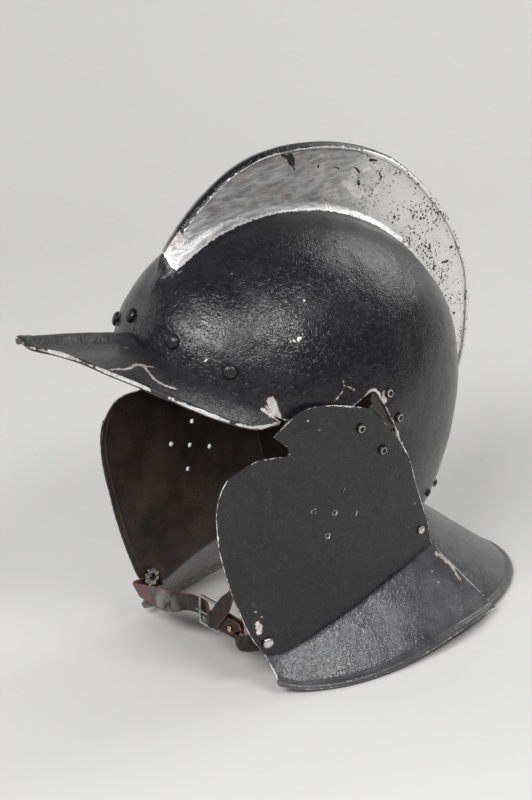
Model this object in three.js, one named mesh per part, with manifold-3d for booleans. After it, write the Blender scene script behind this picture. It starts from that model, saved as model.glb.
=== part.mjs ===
// A burgonet: an open-faced iron helmet with a tall comb, a pointed peak and two hinged cheekpieces.
// It is drawn level, as it is worn: +X is the wearer's left, -Y the front, +Z up, in millimetres,
// from the middle of a transverse axis through both ears.
// At the end it is tipped back on to its lower rims, so that it stands as it would on a table.
import * as THREE from 'three';
import { mergeVertices } from 'three/addons/utils/BufferGeometryUtils.js';
import Module from 'manifold-3d';

const wasm = await Module();
wasm.setup();

// Driving dimensions
const plate = 1.6;
const fitGap = 0.3;
const cutOverrun = 6;
const smallestEdge = 0.02;

// Skull bowl: a side profile drawn by its radius about the transverse axis
const skullRadius = 120;
const skullHalfWidth = 90;
const profileShares = [
  [0, 0.975], [20, 1.018], [30, 1.06], [38, 1.085], [46, 1.087], [56, 1.08], [70, 1.062],
  [95, 1.033], [120, 1.029],
  [145, 1.037], [170, 0.992], [188, 0.963], [200, 0.957], [222, 0.997], [250, 1.06],
];
const widthShares = [[0, 1], [130, 1], [160, 0.985], [185, 0.955], [215, 0.945], [250, 0.93]];
const browAngle = 29.3;
const browEndTilt = 57;
const browAngleShares = [
  [0, 1.0], [0.1, 0.935], [0.32, 0.912], [0.52, 0.87], [0.7, 0.83], [0.87, 0.765], [1, 0.69],
];
const napeDrop = 64;
const napeAngles = [185, 268];

// Lower edge of the skull beside the face, in a side view from the transverse axis:
// past the temple, up into the cut-out for the hinge and down the front of the nape
const earReach = 35;
const earEdgeShares = [
  [-1.3, 0.46], [-0.7, 0.48], [-0.32, 0.66], [0.07, 0.83], [0.25, 0.64],
  [0.46, 0.28], [0.69, -0.1], [0.79, -0.7], [0.84, -1.25],
];
const napeFrontShare = 0.886;

// Comb, raised from both halves of the skull; the right half's edge is turned down over the left's
const combHeight = 43.5;
const combShares = [
  [38, 0], [46, 0.05], [50, 0.2], [54, 0.29], [60, 0.41], [67.5, 0.565], [75, 0.72], [81, 0.815],
  [87, 0.875], [93, 0.915], [101, 0.955], [109, 0.985], [117, 1], [126, 0.955], [135, 0.895],
  [142, 0.85], [148, 0.795], [154, 0.755], [159, 0.69], [167, 0.59], [174, 0.5], [188, 0.3],
  [200, 0.13], [208, 0.03], [214, 0],
];
const crestHalfWidth = 2.5;
const crestFlatShare = 0.62;
const crestRound = 1.1;
const combFootHalfWidth = 6.4;
const combFillet = 5.5;
const combFlankShare = 0.45;
const combLeastFootShare = 0.3;
const combSkirtShares = [0.5, 1.3];
const combSkirtPlaceShares = [0.4, 0.34];
const lipThickness = 1;
const lipGap = 0.5;
const lipDepth = 3.4;
const lipStartAngle = 57;
const lipEndAngle = 178;
const lipRunIn = 6;
const lipEndReachShare = 0.45;
const lipEndDropShares = [0.3, 0.7];
const lipCrownShare = 0.15;
const lipShoulderShare = 0.6;

// Peak: where its edge stands off the brow, in shares of its length, from the middle to its end
const peakLength = 76.5;
const peakAcrossShares = [
  [0, 0], [0.25, 0.01], [0.5, 0.03], [0.75, 0.08], [0.9, 0.135], [0.96, 0.14], [1, 0.1],
];
const peakForwardShares = [
  [0, 1], [0.25, 0.81], [0.5, 0.72], [0.75, 0.585], [0.9, 0.34], [0.96, 0.15], [1, -0.02],
];
const peakRiseShares = [
  [0, 0.125], [0.25, 0.115], [0.5, 0.11], [0.75, 0.07], [0.9, -0.03], [0.96, -0.07], [1, -0.045],
];
const keelHeight = 1.2;
const keelHalfWidth = 7;
const keelFullness = 0.6;
const peakEdgeSwell = 0.6;

// Cheekpieces: a side view in shares of their reach and height, laid on a face that is
// widest by the ears and drawn in toward front and back
const cheekReach = 80;
const cheekHeight = 156.5;
const cheekTopRise = 26.5;
const cheekAhead = 15;
const cheekStandOff = 2.2;
const cheekWidthShares = [
  [-0.3, 0.8], [0, 0.817], [0.256, 0.835], [0.447, 0.862], [0.543, 0.889], [0.639, 0.917],
  [0.773, 0.95], [0.831, 0.968], [0.907, 0.982], [1, 0.99], [1.15, 0.995],
];
const cheekFrontDrawIn = 14.8;
const cheekRearDrawIn = 5.9;
const cheekWidestShare = 0.06;
const cheekFrontShares = [
  [-0.6375, 0.899], [-0.73, 0.84], [-0.843, 0.8], [-0.929, 0.754], [-0.985, 0.69], [-1.002, 0.623],
  [-0.992, 0.555], [-0.95, 0.435], [-0.88, 0.307], [-0.8, 0.192], [-0.728, 0.105], [-0.67, 0.05],
  [-0.594, 0],
];
const cheekTopShares = [
  [-0.6375, 0.899], [-0.585, 0.928], [-0.464, 0.979], [-0.35, 1], [-0.165, 0.997], [0.059, 0.972],
  [0.164, 0.957],
];
const cheekRearShares = [
  [0.164, 0.957], [0.341, 0.872], [0.456, 0.81], [0.556, 0.745], [0.6375, 0.668], [0.7, 0.59],
  [0.825, 0.463], [0.8875, 0.385], [0.921, 0.313],
];
const creaseShares = [
  [-0.594, 0], [-0.49, -0.006], [-0.375, 0.008], [-0.225, 0.042], [-0.075, 0.077], [0.2275, 0.141],
  [0.421, 0.191], [0.675, 0.253], [0.921, 0.313],
];
const notchShares = [
  [-0.655, 0.908], [-0.51, 0.85], [-0.5, 0.832], [-0.515, 0.813], [-0.6, 0.818], [-0.75, 0.815],
  [-0.9, 0.86], [-0.8, 0.95],
];

// Lower border of each cheekpiece, bent outward: its rim stands off the bend by shares of its length
const flangeLength = 40;
const flangeRimShares = [
  [0.29, 0.11, -0.45], [0.395, 0.175, -0.49], [0.52, 0.275, -0.545], [0.615, 0.325, -0.65],
  [0.67, 0.35, -0.74], [0.74, 0.375, -0.86], [0.75, 0.45, -0.935], [0.675, 0.65, -1.02],
  [0.31, 1.09, -1.225],
];
const rimBand = 4.5;
const rimSwell = 1.1;

// Neck guard: a collar inside the skull's rear edge, bent out into a wide flare
const guardCentreSetback = 30;
const guardCollarHeight = 14;
const guardBendDrop = 13;
const guardSideReach = 5;
const guardReach = 136;
const guardRimSideDrop = 5;
const guardRimRearRise = 5;
const guardEndAngle = 9;

// Hearing holes in each cheekpiece
const hearingHoleRadius = 1.6;
const hearingCross = 15.3;
const hearingCrossTilt = 13;
const hearingShare = [-0.067, 0.547];

// Cheek hinges: a pin in the gap between skull and cheekpiece, with a leaf riveted inside each
const hingeLength = 21;
const hingeSlope = 48;
const hingeMiddleShare = [0.3, 0.905];
const hingeDepth = 2.9;
const leafGap = 0.7;
const knuckleRadius = 2.1;
const pinRadius = 1.1;
const pinHeadShare = 0.7;
const pinSpreadShare = 1.6;
const leafThickness = 1;
const leafSpread = 24;
const leafHalfLength = 20;
const leafBendShare = 0.25;
const leafOutlineShares = [[0, 0.5], [0.2, 0.72], [0.5, 1], [0.75, 0.85], [1, 0.45]];
const skullLeafRivetShares = [[-0.35, 0.56], [0.52, 0.35]];
const cheekLeafRivetShares = [[-0.465, 0.625], [0.8, 0.53]];

// Rivets
const browRivetRadius = 4.7;
const hingeRivetRadius = 3.2;
const napeRivetRadius = 2.6;
const cornerRivetRadius = 2.9;
const strapRivetRadius = 3.7;
const shankShare = 0.4;
const tailShare = 0.68;
const tailHeightShare = 0.22;
const headHeightShare = 0.62;
const headShoulderShares = [0.75, 0.66];
const tailEndShare = 0.7;
const browMiddlePlace = [33.6, -4.2];
const browRivetPlaces = [[31.6, 20.5], [30.6, 42.3]];
const napeRivetRise = 9;
const napeRivetTurns = [35, 53];
const cornerRivetShare = [0.8075, 0.377];
const strapRivetShare = [-0.569, 0.046];

// Leather band that the brow rivets hold inside the skull
const liningThickness = 2;
const liningRise = 2.7;
const liningWidth = 13;

// Chin strap
const strapWidth = 11;
const strapThickness = 1.8;
const strapTurn = 6;
const strapTailLength = 9;
const buckleInset = 38.16;
const buckleSetback = 3;
const buckleRise = 5;
const buckleHalfLength = 11;
const buckleHalfWidth = 8.6;
const buckleWire = 1.1;
const tongueWire = 0.8;
const buckleCornerShare = 2;
const foldLength = 22;
const studRadius = 2.1;
const studShare = 0.76;
const shortStrapBendShare = 0.6;
const longStrapBendShares = [0.33, 0.67];
const strapEndLength = 30;
const strapEndShares = [[0, 0.03], [0.22, 0.26], [0.46, 0.53], [0.7, 0.84]];
const strapEndWidthShare = 0.45;
const washerRadius = 6.4;
const washerThickness = 0.9;
const washerLobes = 8;
const washerDipShare = 0.18;

// Numbers and curves
const rad = THREE.MathUtils.degToRad;
const deg = THREE.MathUtils.radToDeg;
const mix = THREE.MathUtils.lerp;
const steps = (count) => Array.from({ length: count + 1 }, (_, i) => i / count);

// A smooth value through a table of [place, value] pairs
function through(table, at) {
  const last = table.length - 1;
  if (at <= table[0][0]) return table[0][1];
  if (at >= table[last][0]) return table[last][1];
  let i = 0;
  while (table[i + 1][0] < at) i += 1;
  const slope = (j) => {
    if (j <= 0 || j >= last) return 0;
    const before = (table[j][1] - table[j - 1][1]) / (table[j][0] - table[j - 1][0]);
    const after = (table[j + 1][1] - table[j][1]) / (table[j + 1][0] - table[j][0]);
    return before * after <= 0 ? 0 : (2 * before * after) / (before + after);
  };
  const span = table[i + 1][0] - table[i][0];
  const t = (at - table[i][0]) / span;
  const rise = t * t * (3 - 2 * t);
  return mix(table[i][1], table[i + 1][1], rise)
    + span * (slope(i) * t * (1 - t) * (1 - t) - slope(i + 1) * t * t * (1 - t));
}

// The place between two where a test stops holding, by halving the stretch
const halvings = 40;

function lastHeld(from, to, test) {
  let [low, high] = [from, to];
  for (let i = 0; i < halvings; i += 1) {
    const middle = (low + high) / 2;
    if (test(middle)) low = middle;
    else high = middle;
  }
  return low;
}

// A place inside four border curves that share their corners
function coons(top, bottom, front, rear, u, v) {
  const across = top(u).multiplyScalar(1 - v).add(bottom(u).multiplyScalar(v));
  const along = front(v).multiplyScalar(1 - u).add(rear(v).multiplyScalar(u));
  const corners = top(0).multiplyScalar((1 - u) * (1 - v)).add(top(1).multiplyScalar(u * (1 - v)))
    .add(bottom(0).multiplyScalar((1 - u) * v)).add(bottom(1).multiplyScalar(u * v));
  return across.add(along).sub(corners);
}

// Solids
function closedGeometry(points, faces) {
  const geometry = new THREE.BufferGeometry();
  geometry.setAttribute('position', new THREE.Float32BufferAttribute(points.flatMap((p) => p.toArray()), 3));
  geometry.setIndex(faces.flat());
  return facingOut(geometry);
}

function facingOut(geometry) {
  const at = geometry.getAttribute('position');
  const index = geometry.getIndex();
  const corner = (k) => new THREE.Vector3().fromBufferAttribute(at, index.getX(k));
  let volume = 0;
  for (let k = 0; k < index.count; k += 3) {
    volume += corner(k).dot(corner(k + 1).cross(corner(k + 2)));
  }
  return volume < 0 ? turnedOver(geometry) : geometry;
}

function turnedOver(geometry) {
  const index = geometry.getIndex();
  for (let k = 0; k < index.count; k += 3) {
    const first = index.getX(k);
    index.setX(k, index.getX(k + 1));
    index.setX(k + 1, first);
  }
  return geometry;
}

function mirrored(geometry) {
  const copy = geometry.clone();
  copy.applyMatrix4(new THREE.Matrix4().makeScale(-1, 1, 1));
  return copy.getIndex() ? turnedOver(copy) : copy;
}

// Outward unit directions of a grid of points, rows by columns
function gridNormals(rows, outward) {
  const near = (i, count) => [Math.max(i - 1, 0), Math.min(i + 1, count - 1)];
  return rows.map((row, r) => row.map((_, c) => {
    const [r0, r1] = near(r, rows.length);
    const [c0, c1] = near(c, row.length);
    const down = rows[r1][c].clone().sub(rows[r0][c]);
    const across = row[c1].clone().sub(row[c0]);
    return down.cross(across).normalize().multiplyScalar(outward);
  }));
}

// A sheet-metal plate: an outer face given as a grid, and an inner face set off behind it
function plateGeometry(rows, outward, thicknessAt = () => plate, swellAt = () => 0) {
  const normals = gridNormals(rows, outward);
  const width = rows[0].length;
  const points = [];
  rows.forEach((row, r) => row.forEach((p, c) => {
    points.push(p.clone().addScaledVector(normals[r][c], swellAt(r, c)));
  }));
  rows.forEach((row, r) => row.forEach((p, c) => {
    points.push(p.clone().addScaledVector(normals[r][c], -thicknessAt(r, c) - swellAt(r, c)));
  }));
  const under = rows.length * width;
  const at = (r, c) => r * width + c;
  const faces = [];
  const quad = (a, b, c, d) => faces.push([a, b, c], [a, c, d]);
  for (let r = 0; r + 1 < rows.length; r += 1) {
    for (let c = 0; c + 1 < width; c += 1) {
      quad(at(r, c), at(r + 1, c), at(r + 1, c + 1), at(r, c + 1));
      quad(under + at(r, c), under + at(r, c + 1), under + at(r + 1, c + 1), under + at(r + 1, c));
    }
  }
  const border = [];
  for (let c = 0; c + 1 < width; c += 1) border.push(at(0, c));
  for (let r = 0; r + 1 < rows.length; r += 1) border.push(at(r, width - 1));
  for (let c = width - 1; c > 0; c -= 1) border.push(at(rows.length - 1, c));
  for (let r = rows.length - 1; r > 0; r -= 1) border.push(at(r, 0));
  border.forEach((a, i) => {
    const b = border[(i + 1) % border.length];
    quad(a, b, under + b, under + a);
  });
  return closedGeometry(points, faces);
}

// A bar through a run of section rings, with flat ends, or joined end to end
function barGeometry(rings, joined = false) {
  const size = rings[0].length;
  const points = rings.flat();
  const faces = [];
  const runs = joined ? rings.length : rings.length - 1;
  for (let i = 0; i < runs; i += 1) {
    const here = i * size;
    const next = ((i + 1) % rings.length) * size;
    for (let j = 0; j < size; j += 1) {
      const k = (j + 1) % size;
      faces.push([here + j, here + k, next + k], [here + j, next + k, next + j]);
    }
  }
  if (!joined) {
    const end = (rings.length - 1) * size;
    for (let j = 1; j + 1 < size; j += 1) {
      faces.push([0, j + 1, j], [end, end + j, end + j + 1]);
    }
  }
  return closedGeometry(points, faces);
}

function indexed(geometry) {
  const bare = geometry.clone();
  bare.deleteAttribute('normal');
  bare.deleteAttribute('uv');
  return mergeVertices(bare);
}

function solid(geometry) {
  const merged = indexed(geometry);
  const mesh = new wasm.Mesh({
    numProp: 3,
    vertProperties: new Float32Array(merged.getAttribute('position').array),
    triVerts: new Uint32Array(merged.getIndex().array),
  });
  return new wasm.Manifold(mesh);
}

function geometryOf(body) {
  const mesh = body.simplify(smallestEdge).getMesh();
  const geometry = new THREE.BufferGeometry();
  geometry.setAttribute('position', new THREE.Float32BufferAttribute(Array.from(mesh.vertProperties), 3));
  geometry.setIndex(Array.from(mesh.triVerts));
  return geometry;
}

// A round piece on the Y axis, from a profile of [radius, height] pairs that starts and ends on the axis
function lathed(profile, sides) {
  const outline = profile.map(([radius, height]) => new THREE.Vector2(radius, height));
  return facingOut(indexed(new THREE.LatheGeometry(outline, sides)));
}

const towards = (direction) => (
  new THREE.Quaternion().setFromUnitVectors(new THREE.Vector3(0, 1, 0), direction)
);

function rod(radius, from, to, sides) {
  const length = from.distanceTo(to);
  const geometry = lathed([[0, 0], [radius, 0], [radius, length], [0, length]], sides);
  geometry.applyQuaternion(towards(to.clone().sub(from).normalize()));
  return geometry.translate(from.x, from.y, from.z);
}

// Skull bowl. Angle runs from the brow over the crown to the nape; tilt runs from the middle to the side.
const bowlRadius = (angle) => skullRadius * through(profileShares, angle);
const bowlHalfWidth = (angle) => skullHalfWidth * through(widthShares, angle);

function bowlPoint(angle, tilt, rise = 0) {
  const reach = (bowlRadius(angle) + rise) * Math.cos(rad(tilt));
  return new THREE.Vector3(
    bowlHalfWidth(angle) * Math.sin(rad(tilt)),
    -reach * Math.cos(rad(angle)),
    reach * Math.sin(rad(angle)),
  );
}

const slopeStep = 0.5;

function bowlNormal(angle, tilt) {
  const along = bowlPoint(angle + slopeStep, tilt).sub(bowlPoint(angle - slopeStep, tilt));
  const across = bowlPoint(angle, tilt + slopeStep).sub(bowlPoint(angle, tilt - slopeStep));
  return across.cross(along).normalize();
}

const sideAngle = (setback, height) => (deg(Math.atan2(height, -setback)) + 360) % 360;

// Angle and tilt of the place on the bowl seen at a side-view place
function bowlPlace(setback, height) {
  const angle = sideAngle(setback, height);
  const share = Math.hypot(setback, height) / bowlRadius(angle);
  return new THREE.Vector2(angle, deg(Math.acos(Math.min(share, 1))));
}

const browAngleAt = (tilt) => browAngle * through(browAngleShares, tilt / browEndTilt);

const napeAngleAt = (tilt) => (
  lastHeld(...napeAngles, (angle) => bowlPoint(angle, tilt).z > -napeDrop)
);

const browEnd = bowlPoint(browAngleAt(browEndTilt), browEndTilt);
const earEdge = new THREE.SplineCurve([
  new THREE.Vector2(browEnd.y, browEnd.z),
  ...earEdgeShares.map(([y, z]) => new THREE.Vector2(earReach * y, earReach * z)),
  new THREE.Vector2(earReach * napeFrontShare, -napeDrop),
]);

// Height and half width of the comb's steps above the bowl, from the crest down to its fillet
function combSection(angle, lowered) {
  const rise = Math.max(combHeight * through(combShares, angle) - lowered, 0);
  const grown = Math.min(rise / (2 * combFillet), 1);
  const foot = mix(crestHalfWidth, combFootHalfWidth, mix(combLeastFootShare, 1, grown));
  const footRise = combFillet * grown;
  const shoulder = rise - crestRound * grown;
  const skirt = combFillet * mix(...combSkirtShares, grown);
  const [skirtAcross, skirtRise] = combSkirtPlaceShares;
  return {
    steps: [
      [fitGap / 2, rise],
      [crestHalfWidth * crestFlatShare, rise],
      [crestHalfWidth, shoulder],
      [mix(crestHalfWidth, foot, combFlankShare), mix(shoulder, footRise, combFlankShare)],
      [foot, footRise],
      [foot + skirt * skirtAcross, footRise * skirtRise],
    ],
    end: foot + skirt,
  };
}

const tiltOf = (x) => deg(Math.asin(x / skullHalfWidth));

// How far the left half's crest is lowered to pass under the right half's lip
function lipLowering(angle) {
  const runIn = (angle - lipStartAngle + lipRunIn) / lipRunIn;
  const runOut = (lipEndAngle + lipRunIn - angle) / lipRunIn;
  return (lipThickness + lipGap) * Math.max(Math.min(runIn, runOut, 1), 0);
}

function peakPlace(base, tilt, reach) {
  const share = tilt / browEndTilt;
  const middle = Math.exp(-((base.x / keelHalfWidth) ** 2));
  const keel = keelHeight * middle * Math.sin(Math.PI * reach ** keelFullness);
  return new THREE.Vector3(
    base.x + peakLength * reach * through(peakAcrossShares, share),
    base.y - peakLength * reach * through(peakForwardShares, share),
    base.z + peakLength * reach * through(peakRiseShares, share) + keel,
  );
}

const skullColumns = 28;
const bowlRows = 8;
const peakReachShares = [1, 0.985, 0.95, 0.72, 0.4, 0.11];
const peakSwellShares = [0.4, 1, 0.8];

// Left half of the skull with its half of the comb and of the peak, as rows from crest to lower edge
function skullRows(lowersCrest) {
  const columns = steps(skullColumns);
  const sections = columns.map((u) => {
    const angle = mix(browAngle, napeAngleAt(0), u);
    return combSection(angle, lowersCrest ? lipLowering(angle) : 0);
  });
  const rows = [];
  const edgePlace = (x, rise, u) => {
    const tilt = tiltOf(x);
    return bowlPoint(mix(browAngleAt(tilt), napeAngleAt(tilt), u), tilt, rise);
  };
  sections[0].steps.forEach((_, r) => {
    const bowl = columns.map((u, c) => edgePlace(...sections[c].steps[r], u));
    const tilt = tiltOf(sections[0].steps[r][0]);
    rows.push([...peakReachShares.map((reach) => peakPlace(bowl[0], tilt, reach)), ...bowl]);
  });
  const startTilt = (u) => tiltOf(sections[Math.round(u * skullColumns)].end);
  const front = (v) => {
    const tilt = mix(startTilt(0), browEndTilt, v);
    return new THREE.Vector2(browAngleAt(tilt), tilt);
  };
  const low = (u) => {
    const side = earEdge.getPoint(u);
    return bowlPlace(side.x, side.y);
  };
  const rearEnd = low(1).y;
  const rear = (v) => {
    const tilt = mix(startTilt(1), rearEnd, v);
    return new THREE.Vector2(napeAngleAt(tilt), tilt);
  };
  const top = (u) => new THREE.Vector2(mix(front(0).x, rear(0).x, u), startTilt(u));
  steps(bowlRows).forEach((v) => {
    const bowl = columns.map((u) => {
      const place = coons(top, low, front, rear, u, v);
      return bowlPoint(place.x, place.y);
    });
    const tilt = front(v).y;
    rows.push([...peakReachShares.map((reach) => peakPlace(bowl[0], tilt, reach)), ...bowl]);
  });
  return rows;
}

const peakSwell = (r, c) => peakEdgeSwell * (peakSwellShares[c] ?? 0);

function skullHalf(lowersCrest) {
  const thickness = (r, c) => plate + peakSwell(r, c);
  const half = solid(plateGeometry(skullRows(lowersCrest), 1, thickness, peakSwell));
  return half.trimByPlane([1, 0, 0], fitGap / 2);
}

// The right half's turned-down edge, which lies over the left half's crest
const lipColumns = 24;

function crestLip() {
  const rings = steps(lipColumns).map((u) => {
    const angle = mix(lipStartAngle, lipEndAngle, u);
    const { steps: section } = combSection(angle, lipThickness + lipGap);
    const crest = section[0][1] + lipThickness + lipGap;
    const depth = crest - lipDepth;
    const [shoulderX, shoulder] = section[2];
    const [flankX, flank] = section[3];
    const side = mix(shoulderX, flankX, (shoulder - depth) / (shoulder - flank));
    const out = lipGap + lipThickness;
    const over = -crestHalfWidth * lipEndReachShare;
    const flat = crestHalfWidth * crestFlatShare;
    const [upperDrop, lowerDrop] = lipEndDropShares;
    return [
      [over, crest - lipThickness * upperDrop],
      [flat, crest + lipThickness * lipCrownShare],
      [shoulderX + out, shoulder + lipThickness * lipShoulderShare],
      [side + out, depth],
      [side + lipGap, depth],
      [shoulderX + lipGap, shoulder],
      [flat, crest - lipThickness],
      [over, crest - lipThickness * lowerDrop],
    ].map(([x, rise]) => {
      const p = bowlPoint(angle, 0, rise);
      p.x = x;
      return p;
    });
  });
  return solid(barGeometry(rings));
}

// Cheekpiece
const cheekFootHeight = cheekTopRise - cheekHeight;
const cheekWidestSetback = cheekReach * cheekWidestShare - cheekAhead;

function cheekFace(setback, height, inset = 0) {
  const share = (height - cheekFootHeight) / cheekHeight;
  const from = (setback - cheekWidestSetback) / cheekReach;
  const drawIn = from < 0 ? cheekFrontDrawIn : cheekRearDrawIn;
  const half = (skullHalfWidth + cheekStandOff) * through(cheekWidthShares, share);
  return new THREE.Vector3(half - drawIn * from * from - inset, setback, height);
}

const cheekSide = ([y, z]) => (
  new THREE.Vector2(cheekReach * y - cheekAhead, cheekFootHeight + cheekHeight * z)
);
const cheekCurve = (shares) => new THREE.SplineCurve(shares.map(cheekSide));
const cheekTop = cheekCurve(cheekTopShares);
const cheekFront = cheekCurve(cheekFrontShares);
const cheekRear = cheekCurve(cheekRearShares);
const crease = cheekCurve(creaseShares);

function flangeRim(u) {
  const place = (axis) => flangeLength * through(
    flangeRimShares.map((share, i) => [i / (flangeRimShares.length - 1), share[axis]]), u,
  );
  const side = crease.getPoint(u);
  return cheekFace(side.x, side.y).add(new THREE.Vector3(place(0), place(1), place(2)));
}

const cheekColumns = 17;
const cheekRows = 9;
const flangeReachShares = [0.06, 0.42];
const rimStepShares = [1, 0.72, 0.36, 0];
const rimSwellShares = [0, 0.8, 1, 0.35];

function cheekGrid() {
  const columns = steps(cheekColumns);
  const rows = steps(cheekRows).map((v) => columns.map((u) => {
    const side = coons(
      (t) => cheekTop.getPoint(t), (t) => crease.getPoint(t),
      (t) => cheekFront.getPoint(t), (t) => cheekRear.getPoint(t), u, v,
    );
    return cheekFace(side.x, side.y);
  }));
  const bend = rows[rows.length - 1];
  const toRim = (reachAt) => columns.map((u, c) => {
    const rim = flangeRim(u);
    return bend[c].clone().lerp(rim, reachAt(bend[c].distanceTo(rim)));
  });
  flangeReachShares.forEach((reach) => rows.push(toRim((length) => reach * (1 - rimBand / length))));
  rimStepShares.forEach((back) => rows.push(toRim((length) => 1 - (rimBand * back) / length)));
  return rows;
}

function rimSwellOf(rowCount) {
  return (r) => {
    const step = r - (rowCount - rimStepShares.length);
    return step < 0 ? 0 : rimSwell * rimSwellShares[step];
  };
}

function cheekPlate() {
  const rows = cheekGrid();
  const swell = rimSwellOf(rows.length);
  return solid(plateGeometry(rows, 1, (r) => plate + swell(r), swell));
}

// Neck guard
const guardInset = plate + 2 * fitGap;

function guardPlace(turn, reachX, reachY, height) {
  return new THREE.Vector3(
    reachX * Math.cos(rad(turn)),
    guardCentreSetback + reachY * Math.sin(rad(turn)),
    height,
  );
}

// How far the collar stands from the guard's centre to lie just inside the skull
const collarReach = (turn, height) => lastHeld(0, guardReach, (reach) => {
  const { x, y } = guardPlace(turn, reach, reach, height);
  const angle = sideAngle(y, height);
  const side = Math.hypot(y, height) / (bowlRadius(angle) - guardInset);
  const across = x / (bowlHalfWidth(angle) - guardInset);
  return side * side + across * across < 1;
});

const guardColumns = 26;
const guardReachShares = [0.06, 0.5];

function guardGrid() {
  const turns = steps(guardColumns).map((u) => mix(guardEndAngle, 180 - guardEndAngle, u));
  const collar = (height, measured) => turns.map((turn) => {
    const reach = collarReach(turn, measured);
    return guardPlace(turn, reach, reach, height);
  });
  const top = guardCollarHeight - napeDrop;
  const half = guardCollarHeight / 2 - napeDrop;
  const rows = [
    collar(top, top),
    collar(half, half),
    collar(-napeDrop, -napeDrop),
    collar(-napeDrop - guardBendDrop / 2, -napeDrop),
    collar(-napeDrop - guardBendDrop, -napeDrop),
  ];
  const bend = rows[rows.length - 1];
  const rimHeight = (turn) => (
    cheekFootHeight + mix(-guardRimSideDrop, guardRimRearRise, Math.sin(rad(turn)) ** 2)
  );
  const rim = turns.map((turn) => (
    guardPlace(turn, skullHalfWidth + guardSideReach, guardReach, rimHeight(turn))
  ));
  const toRim = (reachAt) => bend.map((p, c) => p.clone().lerp(rim[c], reachAt(p.distanceTo(rim[c]))));
  guardReachShares.forEach((reach) => rows.push(toRim((length) => reach * (1 - rimBand / length))));
  rimStepShares.forEach((back) => rows.push(toRim((length) => 1 - (rimBand * back) / length)));
  return rows;
}

function guardPlate() {
  const rows = guardGrid();
  const swell = rimSwellOf(rows.length);
  return solid(plateGeometry(rows, 1, (r) => plate + swell(r), swell));
}

// Rivets stand square on a face: a domed head outside, a shank through the layers and a spread tail
const rivetSides = 8;

function rivetGeometry(radius, grip) {
  const shank = radius * shankShare;
  const tail = radius * tailShare;
  const tailFoot = -grip - fitGap;
  const tailEnd = tailFoot - radius * tailHeightShare;
  const height = radius * headHeightShare;
  const [shoulder, shoulderHeight] = headShoulderShares;
  return lathed([
    [0, tailEnd], [tail * tailEndShare, tailEnd], [tail, tailFoot], [shank, tailFoot],
    [shank, fitGap], [radius, fitGap],
    [radius * shoulder, fitGap + height * shoulderHeight], [0, fitGap + height],
  ], rivetSides);
}

function rivetHole(radius, { face, normal, grip }) {
  const inside = face.clone().addScaledVector(normal, -grip - cutOverrun);
  const outside = face.clone().addScaledVector(normal, cutOverrun);
  return solid(rod(radius * shankShare + fitGap, inside, outside, rivetSides));
}

function drilled(body, holes) {
  return holes.reduce((rest, hole) => rest.subtract(hole), body);
}

// Seats: a place on an outer face, the direction out of it and the thickness that a rivet grips there
function bowlSeat([angle, tilt], grip = plate) {
  return { face: bowlPoint(angle, tilt), normal: bowlNormal(angle, tilt), grip };
}

function bowlFace(setback, height, inset = 0) {
  const { face, normal } = bowlSeat(bowlPlace(setback, height).toArray());
  return face.addScaledVector(normal, -inset);
}

function seatOn(faceAt, setback, height, grip) {
  const step = plate;
  const along = faceAt(setback + step, height).sub(faceAt(setback - step, height));
  const up = faceAt(setback, height + step).sub(faceAt(setback, height - step));
  return { face: faceAt(setback, height), normal: along.cross(up).normalize(), grip };
}

function cheekSeat(share, grip) {
  const side = cheekSide(share);
  return seatOn(cheekFace, side.x, side.y, grip);
}

// Notch under the front corner of each cheekpiece
function cheekNotch() {
  const outline = new THREE.Shape(notchShares.map(cheekSide));
  const depth = skullHalfWidth;
  const prism = new THREE.ExtrudeGeometry(outline, { depth, bevelEnabled: false });
  prism.applyMatrix4(new THREE.Matrix4().makeBasis(
    new THREE.Vector3(0, 1, 0), new THREE.Vector3(0, 0, 1), new THREE.Vector3(1, 0, 0),
  ));
  prism.translate(skullHalfWidth / 2, 0, 0);
  return solid(prism);
}

const crossArms = 4;

function hearingHoles() {
  const middle = cheekSide(hearingShare);
  const arms = steps(crossArms).slice(1).map((t) => {
    const turn = rad(360 * t - hearingCrossTilt);
    return new THREE.Vector2(
      middle.x + hearingCross * Math.cos(turn), middle.y + hearingCross * Math.sin(turn),
    );
  });
  return [middle, ...arms].map(({ x, y }) => {
    const inside = cheekFace(x, y, cutOverrun);
    const outside = cheekFace(x, y, -cutOverrun);
    return solid(rod(hearingHoleRadius, inside, outside, rivetSides));
  });
}

// Hinge: its pin runs down and back across the gap between the skull and the cheekpiece
const hingeMiddle = (() => {
  const side = cheekSide(hingeMiddleShare);
  return cheekFace(side.x, side.y, hingeDepth);
})();
const hingeAlong = new THREE.Vector3(0, Math.cos(rad(hingeSlope)), -Math.sin(rad(hingeSlope)));
const hingeAcross = new THREE.Vector3(0, Math.sin(rad(hingeSlope)), Math.cos(rad(hingeSlope)));
const onHinge = (along) => hingeMiddle.clone().addScaledVector(hingeAlong, along);
const knuckle = hingeLength / 3;
const knuckleSides = 10;

function knuckleRun(from, to, radius) {
  return solid(rod(radius, onHinge(from), onHinge(to), knuckleSides));
}

// A leaf runs from its knuckles out under the plate whose underside is given by its side view
const leafRows = 4;
const leafColumns = 5;

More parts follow.
